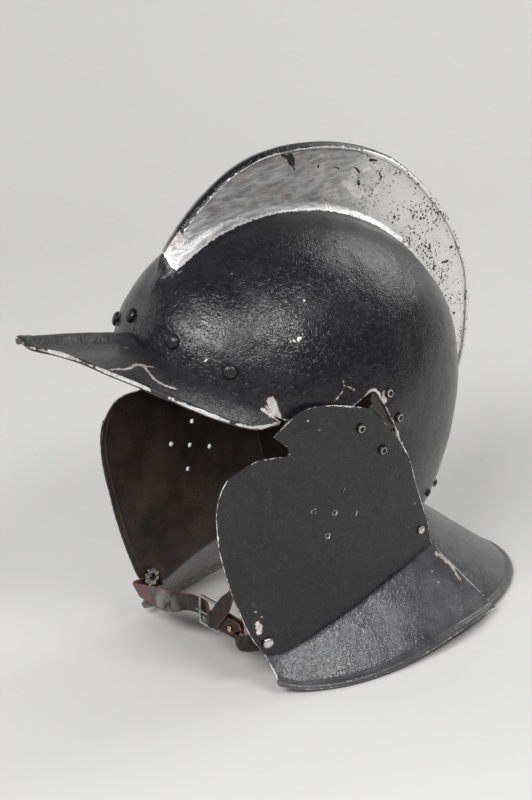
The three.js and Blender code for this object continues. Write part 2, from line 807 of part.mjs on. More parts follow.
function hingeLeaf(faceAt, toward, ownRuns, otherRuns) {
  const rows = steps(leafRows).map((s) => steps(leafColumns).map((t) => {
    const halfLength = leafHalfLength * through(leafOutlineShares, s);
    const along = onHinge(mix(-halfLength, halfLength, t));
    const side = along.addScaledVector(hingeAcross, toward * leafSpread * s);
    const under = faceAt(side.y, side.z);
    const seated = Math.min(s / leafBendShare, 1);
    under.x = mix(hingeMiddle.x - leafThickness / 2, under.x, seated);
    return under;
  }));
  const leaf = solid(plateGeometry(rows, -toward, () => leafThickness));
  const own = ownRuns.map(([from, to]) => knuckleRun(from, to, knuckleRadius));
  const gaps = [...otherRuns, ...endRuns].map(([from, to]) => (
    knuckleRun(from - fitGap, to + fitGap, knuckleRadius + fitGap)
  ));
  const joined = own.reduce((all, run) => all.add(run), drilled(leaf, gaps));
  return joined.subtract(knuckleRun(-hingeLength, hingeLength, pinRadius + fitGap));
}

const leafInset = plate + leafGap;
const skullUnder = (setback, height) => bowlFace(setback, height, leafInset);
const cheekUnder = (setback, height) => cheekFace(setback, height, leafInset);
const halfGap = fitGap / 2;
const hingeEnd = hingeLength / 2;
const outerRuns = [[-hingeEnd, -knuckle / 2 - halfGap], [knuckle / 2 + halfGap, hingeEnd]];
const middleRun = [[-knuckle / 2 + halfGap, knuckle / 2 - halfGap]];
const endRuns = [[-hingeLength, -hingeEnd], [hingeEnd, hingeLength]];

// Room that the knuckles take out of the edge of the cheekpiece
const hingeRoom = () => knuckleRun(
  -hingeEnd - pinRadius - fitGap, hingeEnd + pinRadius + fitGap, knuckleRadius + fitGap,
);

function leafSeat(faceAt, toward, [along, across]) {
  const side = onHinge(leafHalfLength * along).addScaledVector(hingeAcross, toward * leafSpread * across);
  return seatOn(faceAt, side.y, side.z, leafInset + leafThickness);
}

// Hinge pin with both its ends spread
const pinLength = hingeLength + 2 * fitGap;

function pinGeometry() {
  const head = pinRadius * pinHeadShare;
  const spread = pinRadius * pinSpreadShare;
  return lathed([
    [0, -head], [pinRadius, -head], [spread, 0], [pinRadius, 0], [pinRadius, pinLength],
    [spread, pinLength], [pinRadius, pinLength + head], [0, pinLength + head],
  ], rivetSides);
}

// Leather band inside the brow, which ends past the last rivet of each side
const liningRows = 3;
const liningColumns = 20;

function liningBand() {
  const lastTilt = browRivetPlaces[browRivetPlaces.length - 1][1];
  const endTilt = lastTilt + deg((2 * browRivetRadius) / skullHalfWidth);
  const rows = steps(liningRows).map((v) => steps(liningColumns).map((u) => {
    const tilt = mix(-endTilt, endTilt, u);
    const rise = liningRise + liningWidth * (1 - v);
    const angle = browAngleAt(Math.abs(tilt)) + deg(rise / skullRadius);
    return bowlPoint(angle, tilt).addScaledVector(bowlNormal(angle, tilt), -plate - leafGap);
  }));
  return solid(plateGeometry(rows, 1, () => liningThickness));
}

// A flat leather band along a run of points, its width kept upright
function bandGeometry(points, endShare = 1) {
  const up = new THREE.Vector3(0, 0, 1);
  const last = points.length - 1;
  const rings = points.map((p, i) => {
    const run = points[Math.min(i + 1, last)].clone().sub(points[Math.max(i - 1, 0)]).normalize();
    const thick = run.clone().cross(up).normalize().multiplyScalar(strapThickness / 2);
    const wide = thick.clone().cross(run).setLength((strapWidth / 2) * (i === last ? endShare : 1));
    return [
      p.clone().sub(wide).sub(thick), p.clone().add(wide).sub(thick),
      p.clone().add(wide).add(thick), p.clone().sub(wide).add(thick),
    ];
  });
  return barGeometry(rings);
}

// The first stretch of a strap lies inside a cheekpiece and turns in toward the buckle
const strapTurnSteps = 4;

function strapRoot(side) {
  const place = cheekSide(strapRivetShare);
  const inset = plate + fitGap + strapThickness / 2;
  const inside = (forward) => {
    const p = cheekFace(place.x - forward, place.y, inset);
    return new THREE.Vector3(side * p.x, p.y, p.z);
  };
  const corner = inside(washerRadius + leafGap);
  const turn = steps(strapTurnSteps).slice(1).map((t) => {
    const angle = rad(90 * t);
    const p = corner.clone();
    p.x -= side * strapTurn * (1 - Math.cos(angle));
    p.y -= strapTurn * Math.sin(angle);
    return p;
  });
  return [inside(-strapTailLength), inside(-strapTailLength / 2), inside(0), corner, ...turn];
}

const rootLeft = strapRoot(1);
const rootRight = strapRoot(-1);
const bendLeft = rootLeft[rootLeft.length - 1];
const bendRight = rootRight[rootRight.length - 1];

// Buckle: its own axes run along the strap to the left, out to the front, and up along its bars
const buckleCentre = new THREE.Vector3(
  bendLeft.x - buckleInset, bendLeft.y + buckleSetback, bendLeft.z + buckleRise,
);
const inBuckle = (along, out, up) => buckleCentre.clone().add(new THREE.Vector3(along, -out, up));
const layer = buckleWire + fitGap + strapThickness / 2;
const wireSides = 6;
const eyeSides = 12;

function shortStrap() {
  const bar = buckleHalfLength;
  const fold = bar + foldLength;
  const wrap = steps(wireSides).map((t) => inBuckle(
    bar - layer * Math.sin(Math.PI * t), layer * Math.cos(Math.PI * t), 0,
  ));
  const front = inBuckle(fold, layer, 0);
  return solid(bandGeometry([
    ...rootLeft, bendLeft.clone().lerp(front, shortStrapBendShare), front, ...wrap,
    inBuckle(fold, -layer, 0),
  ]));
}

// The long strap passes behind the buckle's far bar and in front of the other, and its end stands up
function longStrap() {
  const bar = buckleHalfLength;
  const over = layer + strapThickness + fitGap;
  const enter = inBuckle(-bar - strapTurn, -layer, 0);
  const end = strapEndShares.map(([along, up]) => inBuckle(
    bar + strapEndLength * along, over, strapEndLength * up,
  ));
  const bends = longStrapBendShares.map((share) => bendRight.clone().lerp(enter, share));
  return solid(bandGeometry([
    ...rootRight, ...bends, enter,
    inBuckle(-bar, -layer, 0), inBuckle(-bar / 2, -layer / 2, 0), inBuckle(bar / 2, over, 0), ...end,
  ], strapEndWidthShare));
}

function buckleFrame() {
  const corner = buckleWire * buckleCornerShare;
  const path = [[1, 1], [-1, 1], [-1, -1], [1, -1]].flatMap(([a, b], i) => [0, 45, 90].map((turn) => {
    const angle = rad(90 * i + turn);
    return new THREE.Vector2(
      a * (buckleHalfLength - corner) + corner * Math.cos(angle),
      b * (buckleHalfWidth - corner) + corner * Math.sin(angle),
    );
  }));
  const rings = path.map((at, i) => {
    const before = path[(i + path.length - 1) % path.length];
    const run = path[(i + 1) % path.length].clone().sub(before).normalize();
    return steps(wireSides).slice(1).map((t) => {
      const angle = 2 * Math.PI * t;
      const side = buckleWire * Math.cos(angle);
      return inBuckle(at.x + run.y * side, buckleWire * Math.sin(angle), at.y - run.x * side);
    });
  });
  return solid(barGeometry(rings, true));
}

// Tongue: an eye round the buckle's bar and a wire that rests on the far bar
const tongueOver = buckleWire + fitGap + tongueWire;
const eyeRadius = buckleWire + fitGap + 2 * tongueWire;

function tongueRun(radius) {
  const from = inBuckle(buckleHalfLength - tongueWire, tongueOver, 0);
  return solid(rod(radius, from, inBuckle(-buckleHalfLength - 2 * buckleWire, tongueOver, 0), wireSides));
}

function tongueEye(radius, halfWidth) {
  const end = (up) => inBuckle(buckleHalfLength, 0, up);
  return solid(rod(radius, end(-halfWidth), end(halfWidth), eyeSides));
}

function buckleTongue() {
  const bore = tongueEye(buckleWire + fitGap, cutOverrun);
  return tongueRun(tongueWire).add(tongueEye(eyeRadius, 2 * tongueWire)).subtract(bore);
}

// Holes that the tongue takes in the two straps
const tongueRoom = () => tongueRun(tongueWire + fitGap);
const eyeRoom = () => tongueEye(eyeRadius + fitGap, 2 * tongueWire + fitGap);

// Washer with a petalled edge that spreads a strap rivet's hold on the leather
const stepsPerLobe = 4;

function petalWasher({ face, normal }, inset) {
  const outline = new THREE.Shape(steps(washerLobes * stepsPerLobe).slice(1).map((t) => {
    const dip = (1 + Math.cos(2 * Math.PI * washerLobes * t)) / 2;
    const reach = washerRadius * (1 - washerDipShare * dip * dip);
    return new THREE.Vector2(reach * Math.cos(2 * Math.PI * t), reach * Math.sin(2 * Math.PI * t));
  }));
  const disc = new THREE.ExtrudeGeometry(outline, { depth: washerThickness, bevelEnabled: false });
  const turn = new THREE.Quaternion().setFromUnitVectors(new THREE.Vector3(0, 0, 1), normal.clone().negate());
  disc.applyQuaternion(turn);
  const seat = face.clone().addScaledVector(normal, -inset);
  disc.translate(seat.x, seat.y, seat.z);
  return solid(disc);
}

// Materials
const metal = (color, roughness) => new THREE.MeshStandardMaterial({ color, roughness, metalness: 0.85 });
const looks = {
  blackIron: () => metal(0x24252a, 0.45),
  rivet: () => metal(0x3a3b40, 0.35),
  bareIron: () => metal(0x4a4038, 0.6),
  brass: () => metal(0x9c7a3c, 0.35),
  leather: () => new THREE.MeshStandardMaterial({ color: 0x4a2a22, roughness: 0.75, metalness: 0 }),
};

const helmet = new THREE.Group();

function addMesh(name, geometry, look) {
  const mesh = new THREE.Mesh(geometry, looks[look]());
  mesh.name = name;
  helmet.add(mesh);
  return mesh;
}

// A round piece set on a place, pointing out of it
function addPlaced(name, geometry, look, place, direction) {
  const mesh = addMesh(name, geometry, look);
  mesh.position.copy(place);
  mesh.quaternion.copy(towards(direction));
}

const acrossMiddle = ({ x, y, z }) => new THREE.Vector3(-x, y, z);

function addPlacedPair(name, geometry, look, place, direction) {
  addPlaced(`${name}_left`, geometry, look, place, direction);
  addPlaced(`${name}_right`, geometry, look, acrossMiddle(place), acrossMiddle(direction));
}

function addPair(name, geometry, look) {
  addMesh(`${name}_left`, geometry, look);
  addMesh(`${name}_right`, mirrored(geometry), look);
}

// Seats of the rivets of the left side
const browGrip = plate + leafGap + liningThickness + fitGap;
const browSeats = browRivetPlaces.map((place) => bowlSeat(place, browGrip));
const browMiddleSeat = bowlSeat(browMiddlePlace, browGrip);
const skullLeafSeats = skullLeafRivetShares.map((share) => leafSeat(bowlFace, 1, share));
const cheekLeafSeats = cheekLeafRivetShares.map((share) => leafSeat(cheekFace, -1, share));
const napeSeats = napeRivetTurns.map((turn) => {
  const height = napeRivetRise - napeDrop;
  const reach = collarReach(turn, height);
  const { y } = guardPlace(turn, reach, reach, height);
  return bowlSeat(bowlPlace(y, height).toArray(), guardInset + plate + fitGap);
});
const washerInset = plate + fitGap + strapThickness + fitGap;
const strapSeat = cheekSeat(strapRivetShare, washerInset + washerThickness);
const cornerSeat = cheekSeat(cornerRivetShare, plate);
const studSeat = {
  face: inBuckle(buckleHalfLength + foldLength * studShare, layer + strapThickness / 2, 0),
  normal: new THREE.Vector3(0, -1, 0),
  grip: 2 * layer + strapThickness,
};

const holesFor = (seats, radius) => seats.map((seat) => rivetHole(radius, seat));
const mirroredHoles = (holes) => holes.map((hole) => hole.mirror([1, 0, 0]));
const browHoles = holesFor(browSeats, browRivetRadius);
const browMiddleHoles = holesFor([browMiddleSeat], browRivetRadius);
const napeHoles = holesFor(napeSeats, napeRivetRadius);
const skullLeafHoles = holesFor(skullLeafSeats, hingeRivetRadius);
const cheekLeafHoles = holesFor(cheekLeafSeats, hingeRivetRadius);
const strapHoles = holesFor([strapSeat], strapRivetRadius);
const cornerHoles = holesFor([cornerSeat], cornerRivetRadius);

// Skull, neck guard and lining
const skullHoles = [...browHoles, ...napeHoles, ...skullLeafHoles];
const rightHoles = [...skullHoles, ...mirroredHoles(browMiddleHoles)];
const skullLeft = drilled(skullHalf(true), skullHoles);
const skullRight = drilled(skullHalf(false), rightHoles).mirror([1, 0, 0]).add(crestLip());
const guard = drilled(guardPlate(), [...napeHoles, ...mirroredHoles(napeHoles)]);
const band = drilled(liningBand(), [...browMiddleHoles, ...browHoles, ...mirroredHoles(browHoles)]);
addMesh('skull_left', geometryOf(skullLeft), 'blackIron');
addMesh('skull_right', geometryOf(skullRight), 'blackIron');
addMesh('neck_guard', geometryOf(guard), 'blackIron');
addMesh('lining_band', geometryOf(band), 'leather');

// Cheekpieces and their hinges
const cheek = drilled(cheekPlate(), [
  cheekNotch(), hingeRoom(), ...hearingHoles(), ...cheekLeafHoles, ...strapHoles, ...cornerHoles,
]);
const skullLeaf = drilled(hingeLeaf(skullUnder, 1, outerRuns, middleRun), skullLeafHoles);
const cheekLeaf = drilled(hingeLeaf(cheekUnder, -1, middleRun, outerRuns), cheekLeafHoles);
addPair('cheekpiece', geometryOf(cheek), 'blackIron');
addPair('skull_hinge_leaf', geometryOf(skullLeaf), 'bareIron');
addPair('cheek_hinge_leaf', geometryOf(cheekLeaf), 'bareIron');
addPlacedPair('hinge_pin', pinGeometry(), 'bareIron', onHinge(-pinLength / 2), hingeAlong);

// Rivets: one beside the seam at the brow, the others in pairs
addPlaced(
  'brow_rivet_middle', rivetGeometry(browRivetRadius, browMiddleSeat.grip), 'rivet',
  browMiddleSeat.face, browMiddleSeat.normal,
);
const addRivets = (name, seats, radius) => seats.forEach((seat, i) => {
  const rivet = rivetGeometry(radius, seat.grip);
  addPlacedPair(seats.length > 1 ? `${name}_${i + 1}` : name, rivet, 'rivet', seat.face, seat.normal);
});
addRivets('brow_rivet', browSeats, browRivetRadius);
addRivets('skull_hinge_rivet', skullLeafSeats, hingeRivetRadius);
addRivets('cheek_hinge_rivet', cheekLeafSeats, hingeRivetRadius);
addRivets('nape_rivet', napeSeats, napeRivetRadius);
addRivets('corner_rivet', [cornerSeat], cornerRivetRadius);
addRivets('strap_rivet', [strapSeat], strapRivetRadius);

// Chin strap
const washer = drilled(petalWasher(strapSeat, washerInset), strapHoles);
const strapShort = drilled(shortStrap(), [...strapHoles, eyeRoom(), rivetHole(studRadius, studSeat)]);
const strapLong = drilled(longStrap(), [...mirroredHoles(strapHoles), tongueRoom()]);
addPair('strap_washer', geometryOf(washer), 'bareIron');
addMesh('strap_short', geometryOf(strapShort), 'leather');
addMesh('strap_long', geometryOf(strapLong), 'leather');
addPlaced('strap_stud', rivetGeometry(studRadius, studSeat.grip), 'brass', studSeat.face, studSeat.normal);
addMesh('buckle_frame', geometryOf(buckleFrame()), 'bareIron');
addMesh('buckle_tongue', geometryOf(buckleTongue()), 'bareIron');

// Set down, the helmet leans back on the rims of its cheekpieces and of its neck guard
const corners = helmet.children.flatMap((mesh) => {
  mesh.updateMatrix();
  const at = mesh.geometry.getAttribute('position');
  return Array.from({ length: at.count }, (_, i) => (
    new THREE.Vector3().fromBufferAttribute(at, i).applyMatrix4(mesh.matrix)
  ));
});
const inFront = corners.filter((p) => p.y < 0);
const behind = corners.filter((p) => p.y >= 0);

function lowest(points, pitch) {
  return points.reduce((low, p) => Math.min(low, p.z * Math.cos(pitch) - p.y * Math.sin(pitch)), Infinity);
}

const restPitch = lastHeld(0, Math.PI / 4, (pitch) => lowest(inFront, pitch) < lowest(behind, pitch));
helmet.rotation.x = -restPitch;
helmet.updateMatrixWorld(true);
const room = new THREE.Box3().setFromPoints(corners.map((p) => p.applyMatrix4(helmet.matrixWorld)));
helmet.position.set(0, -(room.min.y + room.max.y) / 2, -room.min.z);

export default helmet;
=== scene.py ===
import math

import bmesh
import bpy
import numpy as np
from mathutils import Matrix, Vector, noise


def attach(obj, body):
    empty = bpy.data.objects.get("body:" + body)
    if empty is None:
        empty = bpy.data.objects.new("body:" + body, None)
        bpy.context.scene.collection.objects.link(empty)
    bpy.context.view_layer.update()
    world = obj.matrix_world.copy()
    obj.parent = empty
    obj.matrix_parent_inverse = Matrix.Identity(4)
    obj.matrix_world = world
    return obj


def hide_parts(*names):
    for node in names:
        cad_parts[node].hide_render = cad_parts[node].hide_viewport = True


# A burgonet on a pale studio floor. Shapes are drawn level, as the helmet is worn, in millimetres:
# x to the wearer's left, -y to the front, z up, from the middle of a transverse axis through the ears.
# toTable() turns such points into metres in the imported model's frame, where the helmet leans back at rest.
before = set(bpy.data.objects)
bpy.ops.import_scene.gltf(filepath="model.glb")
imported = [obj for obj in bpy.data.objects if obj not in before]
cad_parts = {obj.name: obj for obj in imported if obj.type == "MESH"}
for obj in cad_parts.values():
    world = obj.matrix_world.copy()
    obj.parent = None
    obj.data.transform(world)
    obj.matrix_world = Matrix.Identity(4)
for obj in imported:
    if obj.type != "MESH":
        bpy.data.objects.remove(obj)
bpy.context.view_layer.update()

rest = {"pitch": -7.392396, "shift": (0.0, 14.008865, 147.10623)}
fits = {"plate": 1.6, "gap": 0.3, "leafGap": 0.7}
hammer = {"dentSize": 19.0, "rippleSize": 6.0, "seedStep": 5.3}

restTurn = np.array(Matrix.Rotation(math.radians(rest["pitch"]), 3, "X"))
restShift = np.array(rest["shift"])
wear = {"step": 0.3, "search": 14, "far": 9.0, "turnFrom": 0.3, "turnShare": 1.6, "fullPaint": 30.0}


def toTable(points):
    return (np.asarray(points, float) @ restTurn.T + restShift) / 1000


def toLevel(points):
    return (np.asarray(points, float) * 1000 - restShift) @ restTurn


def directionToTable(direction):
    return Vector(restTurn @ np.asarray(direction, float))


# curves and grids
def lerp(a, b, t):
    return a + (b - a) * t


def through(table, at):
    # a smooth value through [place, value] pairs, flat at both ends
    places = np.array([row[0] for row in table], float)
    values = np.array([row[1] for row in table], float)
    rises = np.diff(values) / np.diff(places)
    slopes = np.zeros(len(places))
    same = rises[:-1] * rises[1:] > 0
    slopes[1:-1][same] = 2 * (rises[:-1] * rises[1:])[same] / (rises[:-1] + rises[1:])[same]
    at = np.clip(np.asarray(at, float), places[0], places[-1])
    i = np.clip(np.searchsorted(places, at, side="right") - 1, 0, len(places) - 2)
    span = places[i + 1] - places[i]
    t = (at - places[i]) / span
    swing = slopes[i] * t * (1 - t) ** 2 - slopes[i + 1] * t * t * (1 - t)
    return lerp(values[i], values[i + 1], t * t * (3 - 2 * t)) + span * swing


def splineAt(points, t):
    # a smooth curve through points, each of which takes the same share of t
    points = np.asarray(points, float)
    last = len(points) - 1
    at = last * np.clip(np.asarray(t, float), 0, 1)
    i = np.floor(at).astype(int)
    w = (at - i).reshape(at.shape + (1,) * (points.ndim - 1))
    before, here = points[np.maximum(i - 1, 0)], points[i]
    after, beyond = points[np.minimum(i + 1, last)], points[np.minimum(i + 2, last)]
    leave, arrive = (after - before) / 2, (beyond - here) / 2
    cubic = 2 * here - 2 * after + leave + arrive
    square = 3 * after - 3 * here - 2 * leave - arrive
    return ((cubic * w + square) * w + leave) * w + here


def coonsAt(top, low, front, rear, u, v):
    # fills four border curves that share their corners; rows run from top to low
    across = top[None] * (1 - v) + low[None] * v
    along = front[:, None] * (1 - u) + rear[:, None] * u
    corners = ((top[0] * (1 - u) + top[-1] * u) * (1 - v) + (low[0] * (1 - u) + low[-1] * u) * v)
    return across + along - corners


def unit(vectors):
    return vectors / np.maximum(np.linalg.norm(vectors, axis=-1, keepdims=True), 1e-9)


def gridNormals(rows):
    return unit(np.cross(np.gradient(rows, axis=0), np.gradient(rows, axis=1)))


def mirrorX(points):
    return np.asarray(points, float) * np.array([-1.0, 1.0, 1.0])


def unevenness(points, size, seed):
    # smooth noise between about -1 and 1 with bumps as wide as size
    spread = np.asarray(points, float).reshape(-1, 3) / size + seed
    return np.array([noise.noise(Vector(p)) for p in spread]).reshape(np.shape(points)[:-1])


def distanceTo(points, line, block=2000):
    # distance of each point to the nearest point of a densely drawn line
    line = np.asarray(line, float).reshape(-1, 3)
    near = [
        np.sqrt(((points[i:i + block, None] - line[None]) ** 2).sum(-1)).min(1)
        for i in range(0, len(points), block)
    ]
    return np.concatenate(near)


def bisected(low, high, isLow):
    # where a test turns from true to false
    for _ in range(40):
        middle = (low + high) / 2
        below = isLow(middle)
        low, high = np.where(below, middle, low), np.where(below, high, middle)
    return low


def fullTurn(count):
    return np.linspace(0, 2 * math.pi, count, endpoint=False)


def dense(line, step=0.8):
    # the same line with points no more than step apart
    line = np.asarray(line, float)
    out = [line[:1]]
    for a, b in zip(line[:-1], line[1:]):
        count = max(int(np.linalg.norm(b - a) / step), 1)
        out.append(lerp(a, b, np.linspace(0, 1, count + 1)[1:, None]))
    return np.concatenate(out)


# meshes
def facingOut(points, faces):
    # turns the faces over when they enclose a negative volume
    tris = np.concatenate([faces[:, [0, 1, 2]], faces[:, [0, 2, 3]]])
    a, b, c = (points[tris[:, k]] for k in range(3))
    return faces if (a * np.cross(b, c)).sum() > 0 else faces[:, ::-1]


def addPiece(name, points, faces, materials, kinds=None, sharpAngle=45):
    # a fan's quads with a doubled corner become triangles
    faces = [list(dict.fromkeys(int(i) for i in face)) for face in faces]
    mesh = bpy.data.meshes.new(name)
    mesh.from_pydata(toTable(points).tolist(), [], faces)
    for material in materials:
        mesh.materials.append(material)
    if kinds is not None:
        mesh.polygons.foreach_set("material_index", np.asarray(kinds, np.int32))
    mesh.validate()
    piece = bpy.data.objects.new(name, mesh)
    bpy.context.scene.collection.objects.link(piece)
    smooth(piece, sharpAngle)
    return piece


def smooth(piece, sharpAngle):
    piece.data.polygons.foreach_set("use_smooth", np.ones(len(piece.data.polygons), bool))
    piece.data.set_sharp_from_angle(angle=math.radians(sharpAngle))


def mark(piece, **values):
    # per-vertex numbers that the materials read by name
    for label, value in values.items():
        layer = piece.data.attributes.new(label, "FLOAT", "POINT")
        layer.data.foreach_set("value", np.full(len(piece.data.vertices), np.ravel(value), np.float32))


def nearestMarks(points, marks):
    # offset from each point to the nearest mark, a line with a radius, then that radius and the room between
    least = np.full(len(points), wear["far"])
    offsets = np.zeros((len(points), 3))
    radii = np.zeros(len(points))
    for line, radius in marks:
        line = dense(line, wear["step"])
        reach = np.ptp(line, axis=0).max() + wear["search"]
        close = np.flatnonzero(np.linalg.norm(points - line.mean(0), axis=1) < reach)
        if len(close):
            gaps = line[None] - points[close, None]
            lengths = np.linalg.norm(gaps, axis=-1)
            best = lengths.argmin(1)
            each = np.arange(len(close))
            away = lengths[each, best] - radius
            nearer = away < least[close]
            at = close[nearer]
            least[at] = away[nearer]
            offsets[at] = gaps[each, best][nearer]
            radii[at] = radius
    return offsets, radii, least


def markWear(piece, points):
    # the offsets change evenly from vertex to vertex, so a small chip keeps its size on a coarse mesh;
    # away from the marks they turn outward, so that two that point apart never blend to nothing
    normals = np.zeros(len(points) * 3, np.float32)
    piece.data.vertex_normals.foreach_get("vector", normals)
    outward = unit(normals.reshape(-1, 3) @ restTurn)
    for label, marks in (("chip", chips), ("kept", keptPaint)):
        offsets, radii, away = nearestMarks(points, marks)
        offsets += outward * (np.clip(away - wear["turnFrom"], 0, None) * wear["turnShare"])[:, None]
        layer = piece.data.attributes.new(label + "Offset", "FLOAT_VECTOR", "POINT")
        layer.data.foreach_set("vector", offsets.astype(np.float32).ravel())
        mark(piece, **{label + "Radius": radii})


def levelPoints(piece):
    co = np.zeros(len(piece.data.vertices) * 3, np.float32)
    piece.data.vertices.foreach_get("co", co)
    return toLevel(co.reshape(-1, 3))


def gridFaces(height, width, offset=0):
    at = np.arange(height * width).reshape(height, width) + offset
    return np.stack([at[:-1, :-1], at[1:, :-1], at[1:, 1:], at[:-1, 1:]], -1).reshape(-1, 4)


def plateShell(rows, normals, thickness, swell=0.0, bulge=0.3):
    # a closed plate under a grid of outer points, its free edges rounded over by bulge
    height, width = rows.shape[:2]
    thickness = np.broadcast_to(thickness, rows.shape[:2])[..., None]
    swell = np.broadcast_to(swell, rows.shape[:2])[..., None]
    outer = rows + normals * swell
    inner = rows - normals * (thickness + swell)
    count = height * width
    at = np.arange(count).reshape(height, width)
    border = np.concatenate([at[0, :-1], at[:-1, -1], at[-1, :0:-1], at[:0:-1, 0]])
    inward = np.concatenate([at[1, :-1], at[:-1, -2], at[-2, :0:-1], at[:0:-1, 1]])
    outerFlat, innerFlat = outer.reshape(-1, 3), inner.reshape(-1, 3)
    away = unit(outerFlat[border] - outerFlat[inward])
    middle = (outerFlat[border] + innerFlat[border]) / 2 + away * bulge
    ring = 2 * count + np.arange(len(border))
    nextBorder, nextRing = np.roll(border, -1), np.roll(ring, -1)
    faces = np.concatenate([
        gridFaces(height, width),
        gridFaces(height, width, count)[:, ::-1],
        np.stack([border, nextBorder, nextRing, ring], -1),
        np.stack([ring, nextRing, nextBorder + count, border + count], -1),
    ])
    faceCount = (height - 1) * (width - 1)
    kinds = np.repeat([0, 1, 0], [faceCount, faceCount, 2 * len(border)])
    points = np.concatenate([outerFlat, innerFlat, middle])
    return points, facingOut(points, faces), kinds


def addPlate(name, rows, normals, swell):
    # an iron plate, black outside and brown inside
    points, faces, kinds = plateShell(rows, normals, fits["plate"] + swell, swell)
    return addPiece(name, points, faces, [plateSkin, innerIron], kinds), points


def onShell(points, outer, inner, ring):
    # values for a plate's outer and inner grids, and one for the ring round its edge
    return np.concatenate([outer, inner, np.full(len(points) - 2 * len(outer), ring)])


def tube(centres, sections, closed=False):
    # rings of points swept along a path; sections holds each ring, in millimetres
    ringCount, size = sections.shape[:2]
    points = sections.reshape(-1, 3)
    at = np.arange(ringCount * size).reshape(ringCount, size)
    nextOnes = np.roll(at, -1, axis=1)
    if closed:
        at, nextOnes = np.vstack([at, at[:1]]), np.vstack([nextOnes, nextOnes[:1]])
    faces = np.stack([at[:-1], nextOnes[:-1], nextOnes[1:], at[1:]], -1).reshape(-1, 4)
    if not closed:
        ends = np.vstack([centres[0], centres[-1]])
        first, last = len(points), len(points) + 1
        points = np.vstack([points, ends])
        startFan = np.stack([at[0], np.full(size, first), np.full(size, first), nextOnes[0]], -1)
        endFan = np.stack([at[-1], nextOnes[-1], np.full(size, last), np.full(size, last)], -1)
        faces = np.concatenate([faces, startFan, endFan])
    return points, facingOut(points, faces)


def lathe(profile, sides, place, axis):
    # a round piece from [radius, height] pairs, standing on a place and pointing along axis
    axis = unit(np.asarray(axis, float))
    aside = unit(np.cross(axis, [0.0, 0.0, 1.0] if abs(axis[2]) < 0.9 else [1.0, 0.0, 0.0]))
    third = np.cross(axis, aside)
    turns = fullTurn(sides)
    around = np.cos(turns)[:, None] * aside + np.sin(turns)[:, None] * third
    profile = np.asarray(profile, float)
    body = profile[1:-1]
    sections = (np.asarray(place) + body[:, 1, None, None] * axis
                + body[:, 0, None, None] * around[None])
    centres = np.asarray(place) + profile[[0, -1], 1, None] * axis
    return tube(centres, sections)


def carve(piece, cutters, sharpAngle):
    for cutter in cutters:
        modifier = piece.modifiers.new("cut", "BOOLEAN")
        modifier.operation = "DIFFERENCE"
        modifier.solver = "MANIFOLD"
        modifier.object = cutter
    bpy.context.view_layer.update()
    shape = piece.evaluated_get(bpy.context.evaluated_depsgraph_get())
    mesh = bpy.data.meshes.new_from_object(shape)
    piece.modifiers.clear()
    piece.data = mesh
    for cutter in cutters:
        bpy.data.objects.remove(cutter)
    smooth(piece, sharpAngle)


# shader helpers: a Wire is one output of a node, and sums with it add math nodes to its tree
class Wire:
    def __init__(self, socket):
        self.socket = socket
        self.tree = socket.id_data

    def __add__(self, other):
        return calc("ADD", self, other)

    def __sub__(self, other):
        return calc("SUBTRACT", self, other)

    def __mul__(self, other):
        return calc("MULTIPLY", self, other)


def addNode(tree, kind, inputs, **settings):
    made = tree.nodes.new("ShaderNode" + kind)
    for key, value in settings.items():
        setattr(made, key, value)
    for key, value in inputs.items():
        if isinstance(value, Wire):
            tree.links.new(value.socket, made.inputs[key])
        else:
            made.inputs[key].default_value = value
    return made


def outputOf(tree, kind, inputs, output=0, **settings):
    return Wire(addNode(tree, kind, inputs, **settings).outputs[output])


def calc(operation, *values):
    return outputOf(values[0].tree, "Math", dict(enumerate(values)), operation=operation)


def larger(a, b):
    return calc("MAXIMUM", a, b)


def ranged(value, low, high, toLow=0.0, toHigh=1.0):
    inputs = {"Value": value, "From Min": low, "From Max": high, "To Min": toLow, "To Max": toHigh}
    return outputOf(value.tree, "MapRange", inputs, "Result", interpolation_type="SMOOTHSTEP")


def mixColour(share, a, b):
    return outputOf(share.tree, "Mix", {0: share, 6: a, 7: b}, 2, data_type="RGBA")


def mixValue(share, a, b):
    return outputOf(share.tree, "Mix", {0: share, 2: a, 3: b}, data_type="FLOAT")


def inUnits(place, size):
    # scales a place in metres so that one unit is size millimetres
    scale = outputOf(place.tree, "Math", {0: 1000.0, 1: size}, operation="DIVIDE")
    return outputOf(place.tree, "VectorMath", {0: place, "Scale": scale}, operation="SCALE")


def noiseAt(place, detail, rough, distortion=0.0):
    inputs = {"Vector": place, "Scale": 1.0, "Detail": detail, "Roughness": rough, "Distortion": distortion}
    return outputOf(place.tree, "TexNoise", inputs, "Fac")


def cellsAt(place, feature="F1", **more):
    inputs = {"Vector": place, "Scale": 1.0, "Randomness": 1.0, **more}
    return outputOf(place.tree, "TexVoronoi", inputs, "Distance", feature=feature)


def newGroup(name, **numbers):
    # a group that takes a place and some numbers; returns both as wires
    tree = bpy.data.node_groups.new(name, "ShaderNodeTree")
    tree.interface.new_socket(name="place", in_out="INPUT", socket_type="NodeSocketVector")
    for label, value in numbers.items():
        socket = tree.interface.new_socket(name=label, in_out="INPUT", socket_type="NodeSocketFloat")
        socket.default_value = value
    given = tree.nodes.new("NodeGroupInput").outputs
    return Wire(given["place"]), [Wire(given[label]) for label in numbers]


def closeGroup(**results):
    tree = next(iter(results.values())).tree
    for label in results:
        tree.interface.new_socket(name=label, in_out="OUTPUT", socket_type="NodeSocketFloat")
    out = tree.nodes.new("NodeGroupOutput")
    for label, value in results.items():
        tree.links.new(value.socket, out.inputs[label])
    return tree


def useGroup(group, place, **numbers):
    made = addNode(place.tree, "Group", {"place": place, **numbers}, node_tree=group)
    return {socket.name: Wire(socket) for socket in made.outputs}


